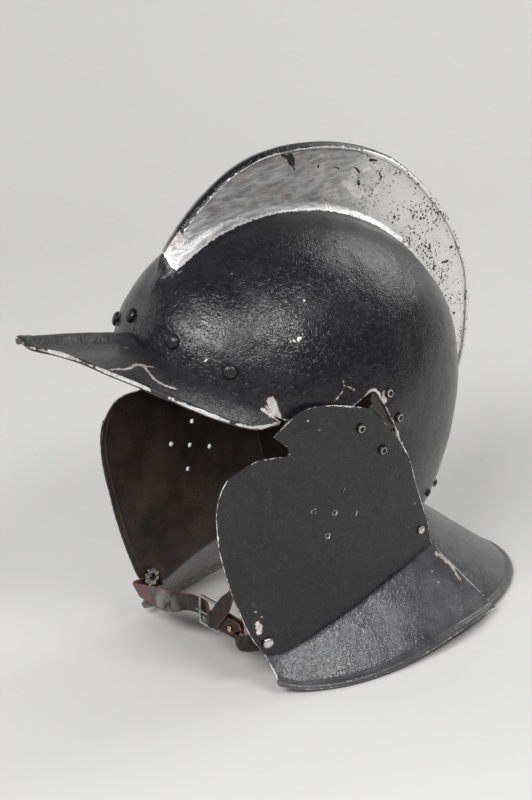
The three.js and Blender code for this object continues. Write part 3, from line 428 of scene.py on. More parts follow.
def makeHammerMarks():
    place, (dentSize, rippleSize, rippleShare) = newGroup(
        "hammerMarks", dentSize=11.0, rippleSize=3.0, rippleShare=0.5)
    dents = cellsAt(inUnits(place, dentSize), "SMOOTH_F1", Smoothness=0.7)
    ripples = noiseAt(inUnits(place, rippleSize), 2.0, 0.42, 1.2)
    folds = noiseAt(inUnits(place, rippleSize * 1.3), 1.0, 0.4, 2.2)
    creases = calc("ABSOLUTE", folds - 0.5)
    fine = noiseAt(inUnits(place, 0.6), 2.0, 0.5)
    height = dents * 0.6 + (ripples - creases * 0.9) * rippleShare + fine * 0.012
    # the tops of the ripples: a mask for a painted highlight on the wrinkles
    ridges = ranged(ripples, 0.5, 0.68) * ranged(creases, 0.0, 0.08)
    return closeGroup(height=height, tone=noiseAt(inUnits(place, 26.0), 5.0, 0.62), ridges=ridges)


def makeWornMask():
    # bare where a distance from an edge or a chip, made ragged by noise, is less than the reach
    place, (distance, reach, ragged, grain, patchy) = newGroup(
        "wornMask", distance=5.0, reach=1.0, ragged=1.5, grain=2.5, patchy=0.0)
    wide = noiseAt(inUnits(place, 17.0), 3.0, 0.6)
    swing = calc("MULTIPLY_ADD", wide, 8.0, -4.0) * patchy
    sway = (noiseAt(inUnits(place, grain), 5.0, 0.65) - 0.5) * ragged
    over = reach * (swing + 1.0) - (distance + sway * 2.0)
    bare = ranged(over, 0.0, 0.2)
    return closeGroup(bare=bare, halo=ranged(over, -1.4, 0.1), rim=bare * ranged(over, 1.3, 0.5))


def makePits():
    place, (size, amount) = newGroup("pits", size=2.0, amount=0.5)
    grainPlace = inUnits(place, size)
    grain = noiseAt(grainPlace, 5.0, 0.7)
    patches = noiseAt(inUnits(place, 14.0), 3.0, 0.6)
    depth = grain * 0.75 + patches * 0.55 - cellsAt(grainPlace) * 0.35
    pitted = ranged(depth - ranged(amount, 0.0, 1.0, 0.78, 0.36), 0.0, 0.07)
    stretched = outputOf(place.tree, "Mapping", {"Vector": grainPlace, "Scale": (2.0, 0.2, 1.0)})
    return closeGroup(pits=pitted, streaks=noiseAt(stretched, 4.0, 0.6))


def makeGrime():
    place, (size, amount) = newGroup("grime", size=18.0, amount=0.5)
    patches = noiseAt(inUnits(place, size), 6.0, 0.68, 0.4)
    shown = ranged(patches - ranged(amount, 0.0, 1.0, 0.72, 0.3), 0.0, 0.16)
    return closeGroup(patches=shown, specks=ranged(cellsAt(inUnits(place, 5.5)), 0.13, 0.06))


def makeScratches():
    # thin borders of stretched cells, turned two ways and broken up by noise
    place, (size, amount) = newGroup("scratches", size=9.0, amount=0.5)
    linePlace = inUnits(place, size)
    lines = []
    for turn, stretch in (((0.3, 0.9, 0.2), (1.0, 0.16, 1.0)), ((1.1, 0.2, 2.0), (0.2, 1.0, 1.0))):
        turned = outputOf(place.tree, "Mapping", {"Vector": linePlace, "Rotation": turn, "Scale": stretch})
        moved = outputOf(place.tree, "VectorMath", {0: turned, 1: (3.7, 1.3, 9.1)}, operation="ADD")
        lines.append(ranged(cellsAt(moved, "DISTANCE_TO_EDGE"), 0.018, 0.004))
    shown = ranged(noiseAt(linePlace, 3.0, 0.6) - ranged(amount, 0.0, 1.0, 0.75, 0.35), 0.0, 0.08)
    return closeGroup(lines=larger(*lines) * shown)


def makeLeatherGrain():
    place, (size,) = newGroup("leatherGrain", size=0.9)
    cells = cellsAt(inUnits(place, size), "DISTANCE_TO_EDGE", Randomness=0.9)
    wrinkles = noiseAt(inUnits(place, 4.0), 5.0, 0.65, 0.8)
    tone = noiseAt(inUnits(place, 9.0), 4.0, 0.6)
    return closeGroup(height=cells * 0.6 + wrinkles * 0.8, tone=tone, cracks=ranged(wrinkles, 0.42, 0.3))


hammerMarks = makeHammerMarks()
wornMask = makeWornMask()
pits = makePits()
grime = makeGrime()
scratches = makeScratches()
leatherGrain = makeLeatherGrain()


def newMaterial(name):
    material = bpy.data.materials.new(name)
    material.use_nodes = True
    material.node_tree.nodes.clear()
    return material, outputOf(material.node_tree, "TexCoord", {}, "Object")


def read(place, label):
    return outputOf(place.tree, "Attribute", {}, "Fac", attribute_name=label)


def wearDistance(place, label):
    # distance to the nearest chip or spot of paint, less its radius
    offset = outputOf(place.tree, "Attribute", {}, "Vector", attribute_name=label + "Offset")
    away = outputOf(place.tree, "VectorMath", {0: offset}, "Value", operation="LENGTH")
    return away - read(place, label + "Radius")


def shade(material, colour, rough, metallic=0.0, specular=0.5, relief=None):
    # relief is a height, its strength and its depth in millimetres
    tree = material.node_tree
    inputs = {"Base Color": colour, "Roughness": rough, "Metallic": metallic, "Specular IOR Level": specular}
    if relief:
        height, strength, depth = relief
        bump = {"Height": height, "Strength": strength, "Distance": depth / 1000}
        inputs["Normal"] = outputOf(tree, "Bump", bump)
    addNode(tree, "OutputMaterial", {"Surface": outputOf(tree, "BsdfPrincipled", inputs)})
    return material


blackPaint = {
    "dark": (0.004, 0.004, 0.005, 1), "light": (0.013, 0.013, 0.015, 1), "dust": (0.1, 0.095, 0.09, 1),
    "undercoat": (0.1, 0.07, 0.05, 1), "thin": (0.12, 0.12, 0.125, 1), "ridge": (0.038, 0.038, 0.041, 1),
    "roughness": (0.18, 0.3), "bareRoughness": 0.42, "bareMetallic": 0.75, "depth": 0.55,
}
steel = {
    "bright": (0.52, 0.52, 0.52, 1), "dull": (0.2, 0.2, 0.2, 1), "brown": (0.17, 0.125, 0.095, 1),
    "pit": (0.02, 0.018, 0.017, 1), "white": (0.88, 0.87, 0.86, 1), "pale": (0.7, 0.7, 0.69, 1),
    "cream": (0.62, 0.56, 0.46, 1),
}
inside = {
    "dark": (0.035, 0.027, 0.022, 1), "light": (0.12, 0.092, 0.074, 1), "rust": (0.075, 0.045, 0.03, 1),
    "scratch": (0.26, 0.23, 0.2, 1), "speck": (0.25, 0.22, 0.18, 1),
    "toplitGreyDark": (0.26, 0.26, 0.26, 1), "toplitGreyLight": (0.62, 0.62, 0.62, 1),
}
leather = {
    "pinkDark": (0.07, 0.03, 0.026, 1), "pinkLight": (0.22, 0.13, 0.12, 1), "crack": (0.012, 0.008, 0.007, 1),
    "sheenDark": (0.02, 0.015, 0.012, 1), "sheenLight": (0.24, 0.225, 0.21, 1),
}


def makePlateSkin():
    # black paint over hammered iron, worn to steel at edges, chips and all over the comb
    material, place = newMaterial("wornBlackPaint")
    marks = useGroup(hammerMarks, place, dentSize=11.0, rippleSize=2.6, rippleShare=0.56)
    dirt = useGroup(grime, place, size=24.0, amount=0.34)
    lines = useGroup(scratches, place, size=14.0, amount=0.22)["lines"]
    edge = useGroup(wornMask, place, distance=read(place, "edge"), reach=read(place, "rub"),
                    ragged=1.1, grain=2.6, patchy=1.0)
    chip = useGroup(wornMask, place, distance=wearDistance(place, "chip"), reach=0.0, ragged=1.8, grain=1.9)
    kept = wearDistance(place, "kept") * -1.0
    bared = useGroup(wornMask, place, distance=larger(read(place, "painted"), kept), reach=0.0,
                     ragged=1.6, grain=2.6)
    paint = mixColour(marks["tone"], blackPaint["dark"], blackPaint["light"])
    # lighter grey where the paint is thin, and also painted light: the upward flanges, the neck guard's flare
    # and the peak's top are made lighter as if lit from above
    thin = read(place, "thin") * ranged(marks["tone"], 0.3, 0.7, 0.45, 1.0)
    halo = larger(chip["halo"], edge["halo"] * 0.5)
    # the ridge colour laid on the wrinkle tops is a painted highlight
    for share, look in ((marks["ridges"] * 0.45, "ridge"), (thin, "thin"), (dirt["patches"] * 0.08, "dust"),
                        (dirt["specks"] * dirt["patches"] * 0.35, "dust"), (lines * 0.25, "dust"),
                        (halo * 0.3, "undercoat")):
        paint = mixColour(share, paint, blackPaint[look])
    rubbed = useGroup(pits, place, size=3.0, amount=0.3)
    metal = mixColour(ranged(rubbed["streaks"], 0.3, 0.65), steel["bright"], steel["white"])
    metal = mixColour(rubbed["pits"], metal, steel["brown"])
    stained = chip["bare"] * ranged(rubbed["streaks"], 0.42, 0.5, 1.0, 0.25)
    metal = mixColour(stained, metal, steel["cream"])
    # a painted highlight: a white line on the bare steel just inside the paint's edge, left off round the
    # spots of kept paint
    paintEdgeHighlight = bared["rim"] * ranged(kept, -3.5, -2.0, 1.0, 0.0)
    metal = mixColour(bared["bare"], metal, combColour(place, paintEdgeHighlight))
    bare = larger(larger(edge["bare"], chip["bare"]), bared["bare"])
    painted = ranged(marks["tone"], 0.3, 0.7, *blackPaint["roughness"])
    height = mixValue(bare, marks["height"], marks["height"] * 0.5) - bare * 0.12
    rough = mixValue(bare, painted, blackPaint["bareRoughness"])
    return shade(material, mixColour(bare, paint, metal), rough, bare * blackPaint["bareMetallic"],
                 relief=(height, 1.0, blackPaint["depth"]))


def combColour(place, paintEdgeHighlight):
    # the comb is rubbed bright: brushed grey in front, pitted and whiter behind, where the whiteness is
    # partly wear and partly painted light from behind
    worn = useGroup(pits, place, size=2.0, amount=0.53)
    patches = useGroup(grime, place, size=15.0, amount=0.55)["patches"]
    rearWornAndLitShare = ranged(calc("MULTIPLY_ADD", patches, 0.08, read(place, "rearward")), 0.3, 0.52)
    brushed = mixColour(ranged(worn["streaks"], 0.25, 0.75), steel["dull"], steel["bright"])
    brushed = mixColour(patches * 0.3, brushed, steel["brown"])
    pale = mixColour(ranged(worn["streaks"], 0.2, 0.5), steel["pale"], steel["white"])
    # the white line along the paint's edge is a painted highlight
    colour = mixColour(paintEdgeHighlight * 0.85, mixColour(rearWornAndLitShare, brushed, pale), steel["white"])
    return mixColour(worn["pits"] * ranged(rearWornAndLitShare, 0.0, 1.0, 0.12, 1.0), colour, steel["pit"])


def makeInnerIron():
    # brown iron inside; on the flanges, where their mark is near 1, it is painted a streaky grey, as light
    # falling on their top faces from above
    material, place = newMaterial("innerBrownIron")
    marks = useGroup(hammerMarks, place, dentSize=9.0, rippleSize=2.6)
    rust = useGroup(grime, place, size=8.0, amount=0.5)
    lines = useGroup(scratches, place, size=22.0, amount=0.3)["lines"]
    toplitStreaks = useGroup(pits, place, size=1.6, amount=0.3)
    colour = mixColour(ranged(marks["tone"], 0.25, 0.75), inside["dark"], inside["light"])
    for share, look in ((rust["patches"] * 0.6, "rust"), (lines * 0.3, "scratch"),
                        (rust["specks"] * 0.3, "speck")):
        colour = mixColour(share, colour, inside[look])
    # painted light: a streaky grey for the flanges' top faces, lit from above
    grey = mixColour(ranged(toplitStreaks["streaks"], 0.3, 0.7), inside["toplitGreyDark"], inside["toplitGreyLight"])
    colour = mixColour(read(place, "thin"), colour, grey)
    return shade(material, colour, ranged(rust["patches"], 0.0, 1.0, 0.45, 0.7), 0.25,
                 relief=(marks["height"], 0.8, 0.7))


def makeWornIron(name, dark, light, wornShare, rough, metallic):
    # rivets, wire and hinges: dark iron made bright where the mark named high is near 1, from wear, and on
    # ringed rivet heads as a painted highlight ring
    material, place = newMaterial(name)
    marks = useGroup(hammerMarks, place, dentSize=3.0, rippleSize=1.2)
    spots = useGroup(pits, place, size=1.3, amount=0.4)
    rubbed = ranged(read(place, "high"), 0.25, 0.95) * wornShare
    rubbed = rubbed * ranged(spots["streaks"], 0.25, 0.6, 0.4, 1.0)
    colour = mixColour(rubbed, dark + (1,), light + (1,))
    colour = mixColour(spots["pits"] * 0.7, colour, (0.02, 0.016, 0.014, 1))
    return shade(material, colour, ranged(spots["pits"], 0.0, 1.0, rough, rough + 0.25), metallic, 0.35,
                 (marks["height"], 0.6, 0.25))


def makeLeather(name, dark, light, edgeColour):
    # two marks: rosy where the leather is faded pink, and one where a grey sheen is painted on as a highlight
    material, place = newMaterial(name)
    grain = useGroup(leatherGrain, place)
    patches = useGroup(grime, place, size=7.0, amount=0.5)["patches"]
    colour = mixColour(grain["tone"], dark, light)
    pink = mixColour(grain["tone"], leather["pinkDark"], leather["pinkLight"])
    # a painted highlight: grey sheen
    paintedShine = mixColour(ranged(grain["tone"], 0.35, 0.65), leather["sheenDark"], leather["sheenLight"])
    for share, look in ((read(place, "rosy"), pink), (read(place, "sheen"), paintedShine),
                        (patches * 0.12, edgeColour), (ranged(read(place, "cut"), 0.3, 0.8), edgeColour),
                        (grain["cracks"] * 0.5, leather["crack"])):
        colour = mixColour(share, colour, look)
    return shade(material, colour, ranged(grain["tone"], 0.3, 0.7, 0.42, 0.65), specular=0.22,
                 relief=(grain["height"], 0.6, 0.35))


plateSkin = makePlateSkin()
innerIron = makeInnerIron()
# dark and rubbed colour, the share that is rubbed, roughness and metallic
browIron = makeWornIron("browRivetIron", (0.006, 0.006, 0.007), (0.04, 0.04, 0.042), 0.7, 0.2, 0.1)
rivetIron = makeWornIron("rivetIron", (0.014, 0.014, 0.014), (0.6, 0.59, 0.58), 0.9, 0.28, 0.5)
brightIron = makeWornIron("brightRivetIron", (0.07, 0.055, 0.045), (0.75, 0.75, 0.74), 0.95, 0.26, 0.85)
leafIron = makeWornIron("hingeLeafIron", (0.055, 0.05, 0.046), (0.3, 0.29, 0.28), 0.0, 0.5, 0.2)
wireIron = makeWornIron("wireIron", (0.05, 0.046, 0.042), (0.5, 0.49, 0.47), 0.75, 0.36, 0.8)
studBrass = makeWornIron("studBrass", (0.2, 0.12, 0.045), (0.78, 0.56, 0.24), 0.95, 0.26, 0.95)
strapLeather = makeLeather(
    "strapLeather", (0.004, 0.003, 0.003, 1), (0.014, 0.011, 0.01, 1), (0.22, 0.075, 0.035, 1))
liningLeather = makeLeather(
    "liningLeather", (0.03, 0.016, 0.01, 1), (0.11, 0.06, 0.038, 1), (0.22, 0.12, 0.06, 1))
print("materials ready")


skull = {
    "radius": 120, "halfWidth": 90,
    "profileShares": [
        (0, 0.975), (20, 1.018), (30, 1.06), (38, 1.085), (46, 1.087), (56, 1.08), (70, 1.062),
        (95, 1.033), (120, 1.029), (145, 1.037), (170, 0.992), (188, 0.963), (200, 0.957), (222, 0.997),
        (250, 1.06)],
    "widthShares": [(0, 1), (130, 1), (160, 0.985), (185, 0.955), (215, 0.945), (250, 0.93)],
    "browAngle": 29.3, "browEndTilt": 57, "napeDrop": 64, "napeSearch": (185.0, 268.0),
    "browAngleShares": [
        (0, 1.0), (0.1, 0.935), (0.32, 0.912), (0.52, 0.87), (0.7, 0.83), (0.87, 0.765), (1, 0.69)],
    "earReach": 35,
    "earEdgeShares": [
        (-1.3, 0.46), (-0.7, 0.48), (-0.32, 0.66), (0.07, 0.83), (0.25, 0.64),
        (0.46, 0.28), (0.69, -0.1), (0.79, -0.7), (0.84, -1.25)],
    "napeFrontShare": 0.886,
    "columns": 168, "rows": 56, "dents": (0.35, 0.12, 3.1), "bareFrom": 50.5, "bareFade": 2.2, "rub": 0.8,
}
comb = {
    "height": 43.5,
    "shares": [
        (38, 0), (46, 0.05), (50, 0.2), (54, 0.29), (60, 0.41), (67.5, 0.565), (75, 0.72), (81, 0.815),
        (87, 0.875), (93, 0.915), (101, 0.955), (109, 0.985), (117, 1), (126, 0.955), (135, 0.895),
        (142, 0.85), (148, 0.795), (154, 0.755), (159, 0.69), (167, 0.59), (174, 0.5), (188, 0.3),
        (200, 0.13), (208, 0.03), (214, 0)],
    "crestHalfWidth": 2.5, "crestFlatShare": 0.62, "crestRound": 1.1, "footHalfWidth": 6.4, "fillet": 5.5,
    "flankShare": 0.45, "lowFootShare": 0.3, "filletShares": (0.4, 0.34), "skirtShares": (0.5, 1.3),
    "lipThickness": 1.0, "lipGap": 0.5, "lipDepth": 3.4, "lipStart": 57, "lipEnd": 178, "lipRunIn": 6,
    "lipWander": 0.35, "lipColumns": 150, "lipSides": 32,
    "lipPaint": [(60, 2.3), (95, 2.3), (125, 0.5), (178, 0.3)],
    "stepRows": (2, 4, 7, 6, 5, 4), "frontAngle": 60, "backSpan": 130,
    "bareFrom": 1.0, "bareMost": 4.0, "bareEdge": 1.5,
}
peak = {
    "length": 76.5,
    "acrossShares": [
        (0, 0), (0.25, 0.01), (0.5, 0.03), (0.75, 0.08), (0.9, 0.135), (0.96, 0.14), (1, 0.1)],
    "forwardShares": [
        (0, 1), (0.25, 0.81), (0.5, 0.72), (0.75, 0.585), (0.9, 0.34), (0.96, 0.15), (1, -0.02)],
    "riseShares": [
        (0, 0.125), (0.25, 0.115), (0.5, 0.11), (0.75, 0.07), (0.9, -0.03), (0.96, -0.07), (1, -0.045)],
    # thin: how much lighter grey the peak's top is painted, partly thin paint and partly painted light from
    # above
    "keelHeight": 1.2, "keelHalfWidth": 7, "keelPower": 0.6, "edgeSwell": 0.6, "rub": 0.7, "thin": 0.18,
    "columns": 46, "crowding": 1.25, "leastReach": 0.004, "rubIn": 0.03, "farBelow": -60.0,
    "swellShares": [(0.9, 0), (0.95, 0.8), (0.985, 1), (1, 0.4)],
}


def bowlRadius(angle):
    return skull["radius"] * through(skull["profileShares"], angle)


def bowlHalfWidth(angle):
    return skull["halfWidth"] * through(skull["widthShares"], angle)


def bowlPoint(angle, tilt, rise=0.0):
    # angle runs from the brow over the crown to the nape, tilt from the middle to the side
    angle, tilt, rise = np.broadcast_arrays(angle, tilt, rise)
    reach = (bowlRadius(angle) + rise) * np.cos(np.radians(tilt))
    across = bowlHalfWidth(angle) * np.sin(np.radians(tilt))
    return np.stack([across, -reach * np.cos(np.radians(angle)), reach * np.sin(np.radians(angle))], -1)


def bowlNormal(angle, tilt):
    along = bowlPoint(angle + 0.5, tilt) - bowlPoint(angle - 0.5, tilt)
    across = bowlPoint(angle, tilt + 0.5) - bowlPoint(angle, tilt - 0.5)
    return unit(np.cross(across, along))


def bowlPlace(setback, height):
    # angle and tilt of the place on the bowl seen at a side-view place
    angle = np.degrees(np.arctan2(height, -np.asarray(setback, float))) % 360
    share = np.hypot(setback, height) / bowlRadius(angle)
    return angle, np.degrees(np.arccos(np.minimum(share, 1)))


def browAngleAt(tilt):
    return skull["browAngle"] * through(skull["browAngleShares"], tilt / skull["browEndTilt"])


def napeAngleAt(tilt):
    low, high = (np.full(np.shape(tilt), angle) for angle in skull["napeSearch"])
    return bisected(low, high, lambda angle: bowlPoint(angle, tilt)[..., 2] > -skull["napeDrop"])


browEnd = bowlPoint(browAngleAt(skull["browEndTilt"]), skull["browEndTilt"])
earEdge = [browEnd[1:]] + [np.multiply(pair, skull["earReach"]) for pair in skull["earEdgeShares"]]
earEdge.append(np.array([skull["earReach"] * skull["napeFrontShare"], -skull["napeDrop"]]))


def combSteps(angle, lowered):
    # half width and rise of the comb's steps, from the crest down past its fillet, for each angle
    rise = np.maximum(comb["height"] * through(comb["shares"], angle) - lowered, 0)
    grown = np.minimum(rise / (2 * comb["fillet"]), 1)
    crest, flank = comb["crestHalfWidth"], comb["flankShare"]
    foot = lerp(crest, comb["footHalfWidth"], lerp(comb["lowFootShare"], 1, grown))
    footRise = comb["fillet"] * grown
    shoulder = rise - comb["crestRound"] * grown
    skirt = comb["fillet"] * lerp(*comb["skirtShares"], grown)
    flat = np.zeros_like(rise)
    outShare, upShare = comb["filletShares"]
    across = [flat, flat + crest * comb["crestFlatShare"], flat + crest, lerp(crest, foot, flank), foot,
              foot + skirt * outShare, foot + skirt]
    rises = [rise, rise, shoulder, lerp(shoulder, footRise, flank), footRise, footRise * upShare, flat]
    return np.array(across), np.array(rises)


def rearwardAt(angle):
    # 0 near the front of the comb and 1 near its back
    return (angle - comb["frontAngle"]) / comb["backSpan"]


def lipLowering(angle):
    # how far the left half's crest is lowered to pass under the right half's turned edge
    runIn = (angle - comb["lipStart"] + comb["lipRunIn"]) / comb["lipRunIn"]
    runOut = (comb["lipEnd"] + comb["lipRunIn"] - angle) / comb["lipRunIn"]
    return (comb["lipThickness"] + comb["lipGap"]) * np.clip(np.minimum(runIn, runOut), 0, 1)


def combRows(angle, lowered):
    # the steps drawn smooth: each step is cut into its own number of rows
    across, rises = combSteps(angle, lowered)
    cuts = np.concatenate([[0]] + [i + np.arange(1, n + 1) / n for i, n in enumerate(comb["stepRows"])])
    outAcross, outRises = np.zeros((len(cuts), len(angle))), np.zeros((len(cuts), len(angle)))
    for c in range(len(angle)):
        lengths = np.hypot(np.diff(across[:, c]), np.diff(rises[:, c]))
        run = np.concatenate([[0], np.cumsum(np.maximum(lengths, 1e-3))])
        at = np.interp(cuts, np.arange(len(run)), run)
        outAcross[:, c] = through(list(zip(run, across[:, c])), at)
        outRises[:, c] = through(list(zip(run, rises[:, c])), at)
    return outAcross, outRises


def tiltOf(x):
    return np.degrees(np.arcsin(x / skull["halfWidth"]))


def peakPlace(base, tilt, reach):
    share = tilt / skull["browEndTilt"]
    middle = np.exp(-((base[..., 0] / peak["keelHalfWidth"]) ** 2))
    keel = peak["keelHeight"] * middle * np.sin(math.pi * reach ** peak["keelPower"])
    out = peak["length"] * reach
    return base + np.stack([
        out * through(peak["acrossShares"], share),
        -out * through(peak["forwardShares"], share),
        out * through(peak["riseShares"], share) + keel,
    ], -1)


def skullGrid(lowersCrest):
    # rows run from the crest down to the lower edge, columns from the tip of the peak to the nape
    u = np.linspace(0, 1, skull["columns"] + 1)
    midAngle = lerp(skull["browAngle"], napeAngleAt(np.zeros(1))[0], u)
    lowered = lipLowering(midAngle) if lowersCrest else np.zeros_like(u)
    across, rises = combRows(midAngle, lowered)
    tilt = tiltOf(across[:-1])
    angle = lerp(browAngleAt(tilt), napeAngleAt(tilt), u)
    upper = bowlPoint(angle, tilt, rises[:-1])
    startTilt = tiltOf(across[-1])
    v = np.linspace(0, 1, skull["rows"] + 1)
    frontTilt = lerp(startTilt[0], skull["browEndTilt"], v)
    front = np.stack([browAngleAt(frontTilt), frontTilt], -1)
    side = splineAt(earEdge, u)
    low = np.stack(bowlPlace(side[:, 0], side[:, 1]), -1)
    rearTilt = lerp(startTilt[-1], low[-1, 1], v)
    rear = np.stack([napeAngleAt(rearTilt), rearTilt], -1)
    top = np.stack([lerp(front[0, 0], rear[0, 0], u), startTilt], -1)
    places = coonsAt(top, low, front, rear, u[None, :, None], v[:, None, None])
    lower = bowlPoint(places[..., 0], places[..., 1])
    bowl = np.concatenate([upper, lower])
    baseTilt = np.concatenate([tilt[:, 0], frontTilt])[:, None]
    reach = 1 - (np.linspace(0, 1, peak["columns"]) ** peak["crowding"])
    reach = np.maximum(reach[:-1], peak["leastReach"])[None]
    front = peakPlace(np.repeat(bowl[:, :1], reach.shape[1], 1), baseTilt, reach)
    rows = np.concatenate([front, bowl], 1)
    extra = rows.shape[1] - len(u)
    reaches = np.concatenate([np.repeat(reach, len(rows), 0), np.zeros((len(rows), len(u)))], 1)
    # height above the comb's foot, and far below it on the peak
    height = np.concatenate([rises[:-1], np.zeros_like(lower[..., 0])])
    height[len(rises):] = -np.cumsum(np.linalg.norm(np.diff(lower, axis=0), axis=-1), 0)
    height = np.concatenate([np.full((len(rows), extra), peak["farBelow"]), height], 1)
    angles = np.concatenate([np.repeat(midAngle[:1], extra), midAngle])
    return rows, reaches, height, np.broadcast_to(angles, height.shape)


def hammered(rows, normals, dents, side=0):
    # dents holds the depths of wide dents and of ripples, and a seed
    dent, ripple, seed = dents
    flat = rows.reshape(-1, 3)
    lift = dent * unevenness(flat, hammer["dentSize"], seed + side)
    lift += ripple * unevenness(flat, hammer["rippleSize"], seed + side + hammer["seedStep"])
    return rows + normals * lift.reshape(rows.shape[:2])[..., None]


# lines along which the paint has chipped off, with the chip's radius, in level millimetres
chips = [
    ([(42.9, -151.4, 56.6), (41.8, -145.5, 55.7), (42.5, -140.6, 54.5), (39.8, -134.9, 54.5),
      (37.2, -130.7, 54.7), (37.7, -127.0, 53.9), (42.8, -126.7, 52.1), (50.9, -127.6, 49.3),
      (55.6, -125.9, 47.2), (59.0, -122.6, 45.1), (60.5, -118.1, 43.5)], 1.0),
    ([(37.2, -130.7, 54.7), (39.2, -126.5, 53.3), (39.7, -120.7, 52.2)], 0.8),
    ([(13.9, -124.7, 59.0), (14.6, -122.4, 58.5)], 0.8),
    ([(74.7, -61.9, 30.5), (75.9, -60.6, 26.3), (77.0, -59.2, 21.5)], 2.6),
    ([(72.7, -66.9, 26.0), (76.8, -64.0, 22.8), (82.8, -61.0, 20.2)], 1.2),
    ([(36.5, -63.7, 99.2)], 0.5),
    ([(63.6, -31.0, 84.2)], 0.8),
    ([(66.3, 20.7, 80.5)], 0.5),
    ([(71.6, -45.9, 63.4)], 0.8),
    ([(72.6, -41.4, 63.8), (72.4, -40.2, 64.8)], 1.1),
    ([(49.6, -91.7, 53.6), (50.4, -90.7, 54.2)], 0.8),
    ([(54.6, 39.1, 89.5)], 0.5),
    ([(86.1, -25.8, 25.5), (86.1, -22.0, 29.1), (85.7, -16.7, 34.0), (84.8, -17.9, 38.6)], 0.35),
    ([(86.0, -13.6, 33.9), (86.3, -12.0, 32.5), (86.7, -10.1, 31.3)], 0.4),
    ([(87.4, 11.2, 25.8), (87.9, 10.8, 22.9)], 2.2),
    ([(86.2, 5.8, 26.5), (88.0, 7.4, 24.8)], 0.5),
    ([(78.3, 42.9, -51.3)], 0.7),
    ([(68.5, -67.3, -109.7), (68.8, -65.7, -112.5), (68.5, -66.3, -115.1)], 1.8),
    ([(68.6, -68.5, -101.7)], 0.7),
    ([(69.4, -64.7, -105.5)], 0.6),
    ([(68.3, -70.4, -96.3)], 0.6),
    ([(88.1, -45.2, 18.8)], 0.6),
    ([(88.9, -36.8, 12.3)], 0.6),
    ([(75.2, 62.1, -88.8), (76.0, 66.3, -92.0), (77.0, 70.4, -95.9), (78.3, 74.2, -100.3)], 1.3),
    ([(79.3, 74.2, -102.6), (80.8, 77.2, -107.4)], 1.1),
    ([(79.0, 55.5, -98.2)], 0.8),
    ([(83.2, 57.8, -104.6)], 0.7),
    ([(84.4, 65.7, -109.2)], 0.6),
    ([(83.1, 77.1, -112.1)], 0.7),
    ([(84.6, 22.5, 0.4), (84.0, 24.2, -1.6)], 0.8), ([(82.4, 28.6, -9.0)], 0.7),
]
# spots and one crack where black paint is kept on the comb
keptPaint = [
    ([(3.0, 0.5, 156.5), (3.3, 1.0, 154.1)], 2.6),
    ([(2.8, -4.9, 158.0), (2.9, -2.4, 157.4)], 0.8),
    ([(3.9, 2.8, 149.1)], 0.9),
    ([(3.9, 20.7, 148.9)], 0.9),
    ([(3.9, 32.4, 146.9), (3.9, 36.8, 145.9)], 0.5),
    ([(2.9, 59.7, 148.2), (2.8, 65.4, 147.3)], 0.8),
    ([(3.7, 47.7, 145.5), (3.9, 52.4, 141.9)], 0.8),
    ([(4.7, 50.9, 134.8)], 1.5),
    ([(5.2, 49.3, 130.6)], 0.7),
    ([(5.1, 54.5, 129.7)], 0.7),
    ([(4.4, 69.5, 129.1)], 1.0),
    ([(3.7, 68.8, 136.8)], 1.0),
    ([(3.4, 66.2, 141.0)], 0.7),
    ([(3.1, 108.2, 111.5)], 0.9),
    ([(3.2, 125.6, 84.8)], 1.2),
    ([(4.9, 117.3, 75.6), (4.2, 122.3, 76.4)], 1.0),
    ([(4.8, 127.8, 41.1)], 1.0),
    ([(3.6, 111.0, 102.2), (3.2, 113.9, 104.0), (2.6, 120.8, 102.1)], 0.5),
]


def makeSkullHalf(side):
    rows, reaches, height, angles = skullGrid(side > 0)
    normals = gridNormals(rows)
    if side < 0:
        rows, normals = mirrorX(rows), mirrorX(normals)
    rows = hammered(rows, normals, skull["dents"], side)
    rows[0, :, 0] = 0.0  # both halves meet in the middle
    swell = peak["edgeSwell"] * through(peak["swellShares"], reaches)
    piece, points = addPlate("skullLeftHalf" if side > 0 else "skullRightHalf", rows, normals, swell)
    edge = distanceTo(points, np.concatenate([rows[:, 0], rows[-1], rows[-20:, -1]]))
    edge[2 * height.size:] = 0
    foot, most, start = comb["bareFrom"], comb["bareMost"], comb["bareEdge"]
    painted = np.where(height > foot, -np.minimum(height - foot, most), start - height)
    painted = np.maximum(painted, (skull["bareFrom"] - angles) * skull["bareFade"]).ravel()
    onPeak = np.clip(reaches / peak["rubIn"], 0, 1).ravel()
    rearward = rearwardAt(angles).ravel()
    rub = lerp(skull["rub"], peak["rub"], onPeak)
    mark(piece, edge=edge, painted=onShell(points, painted, painted, 20.0),
         rearward=onShell(points, rearward, rearward, 0.0), rub=onShell(points, rub, rub, peak["rub"]),
         thin=onShell(points, peak["thin"] * onPeak, 0 * onPeak, 0.0))
    markWear(piece, points)
    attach(piece, "helmet")
    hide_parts("skull_left" if side > 0 else "skull_right")


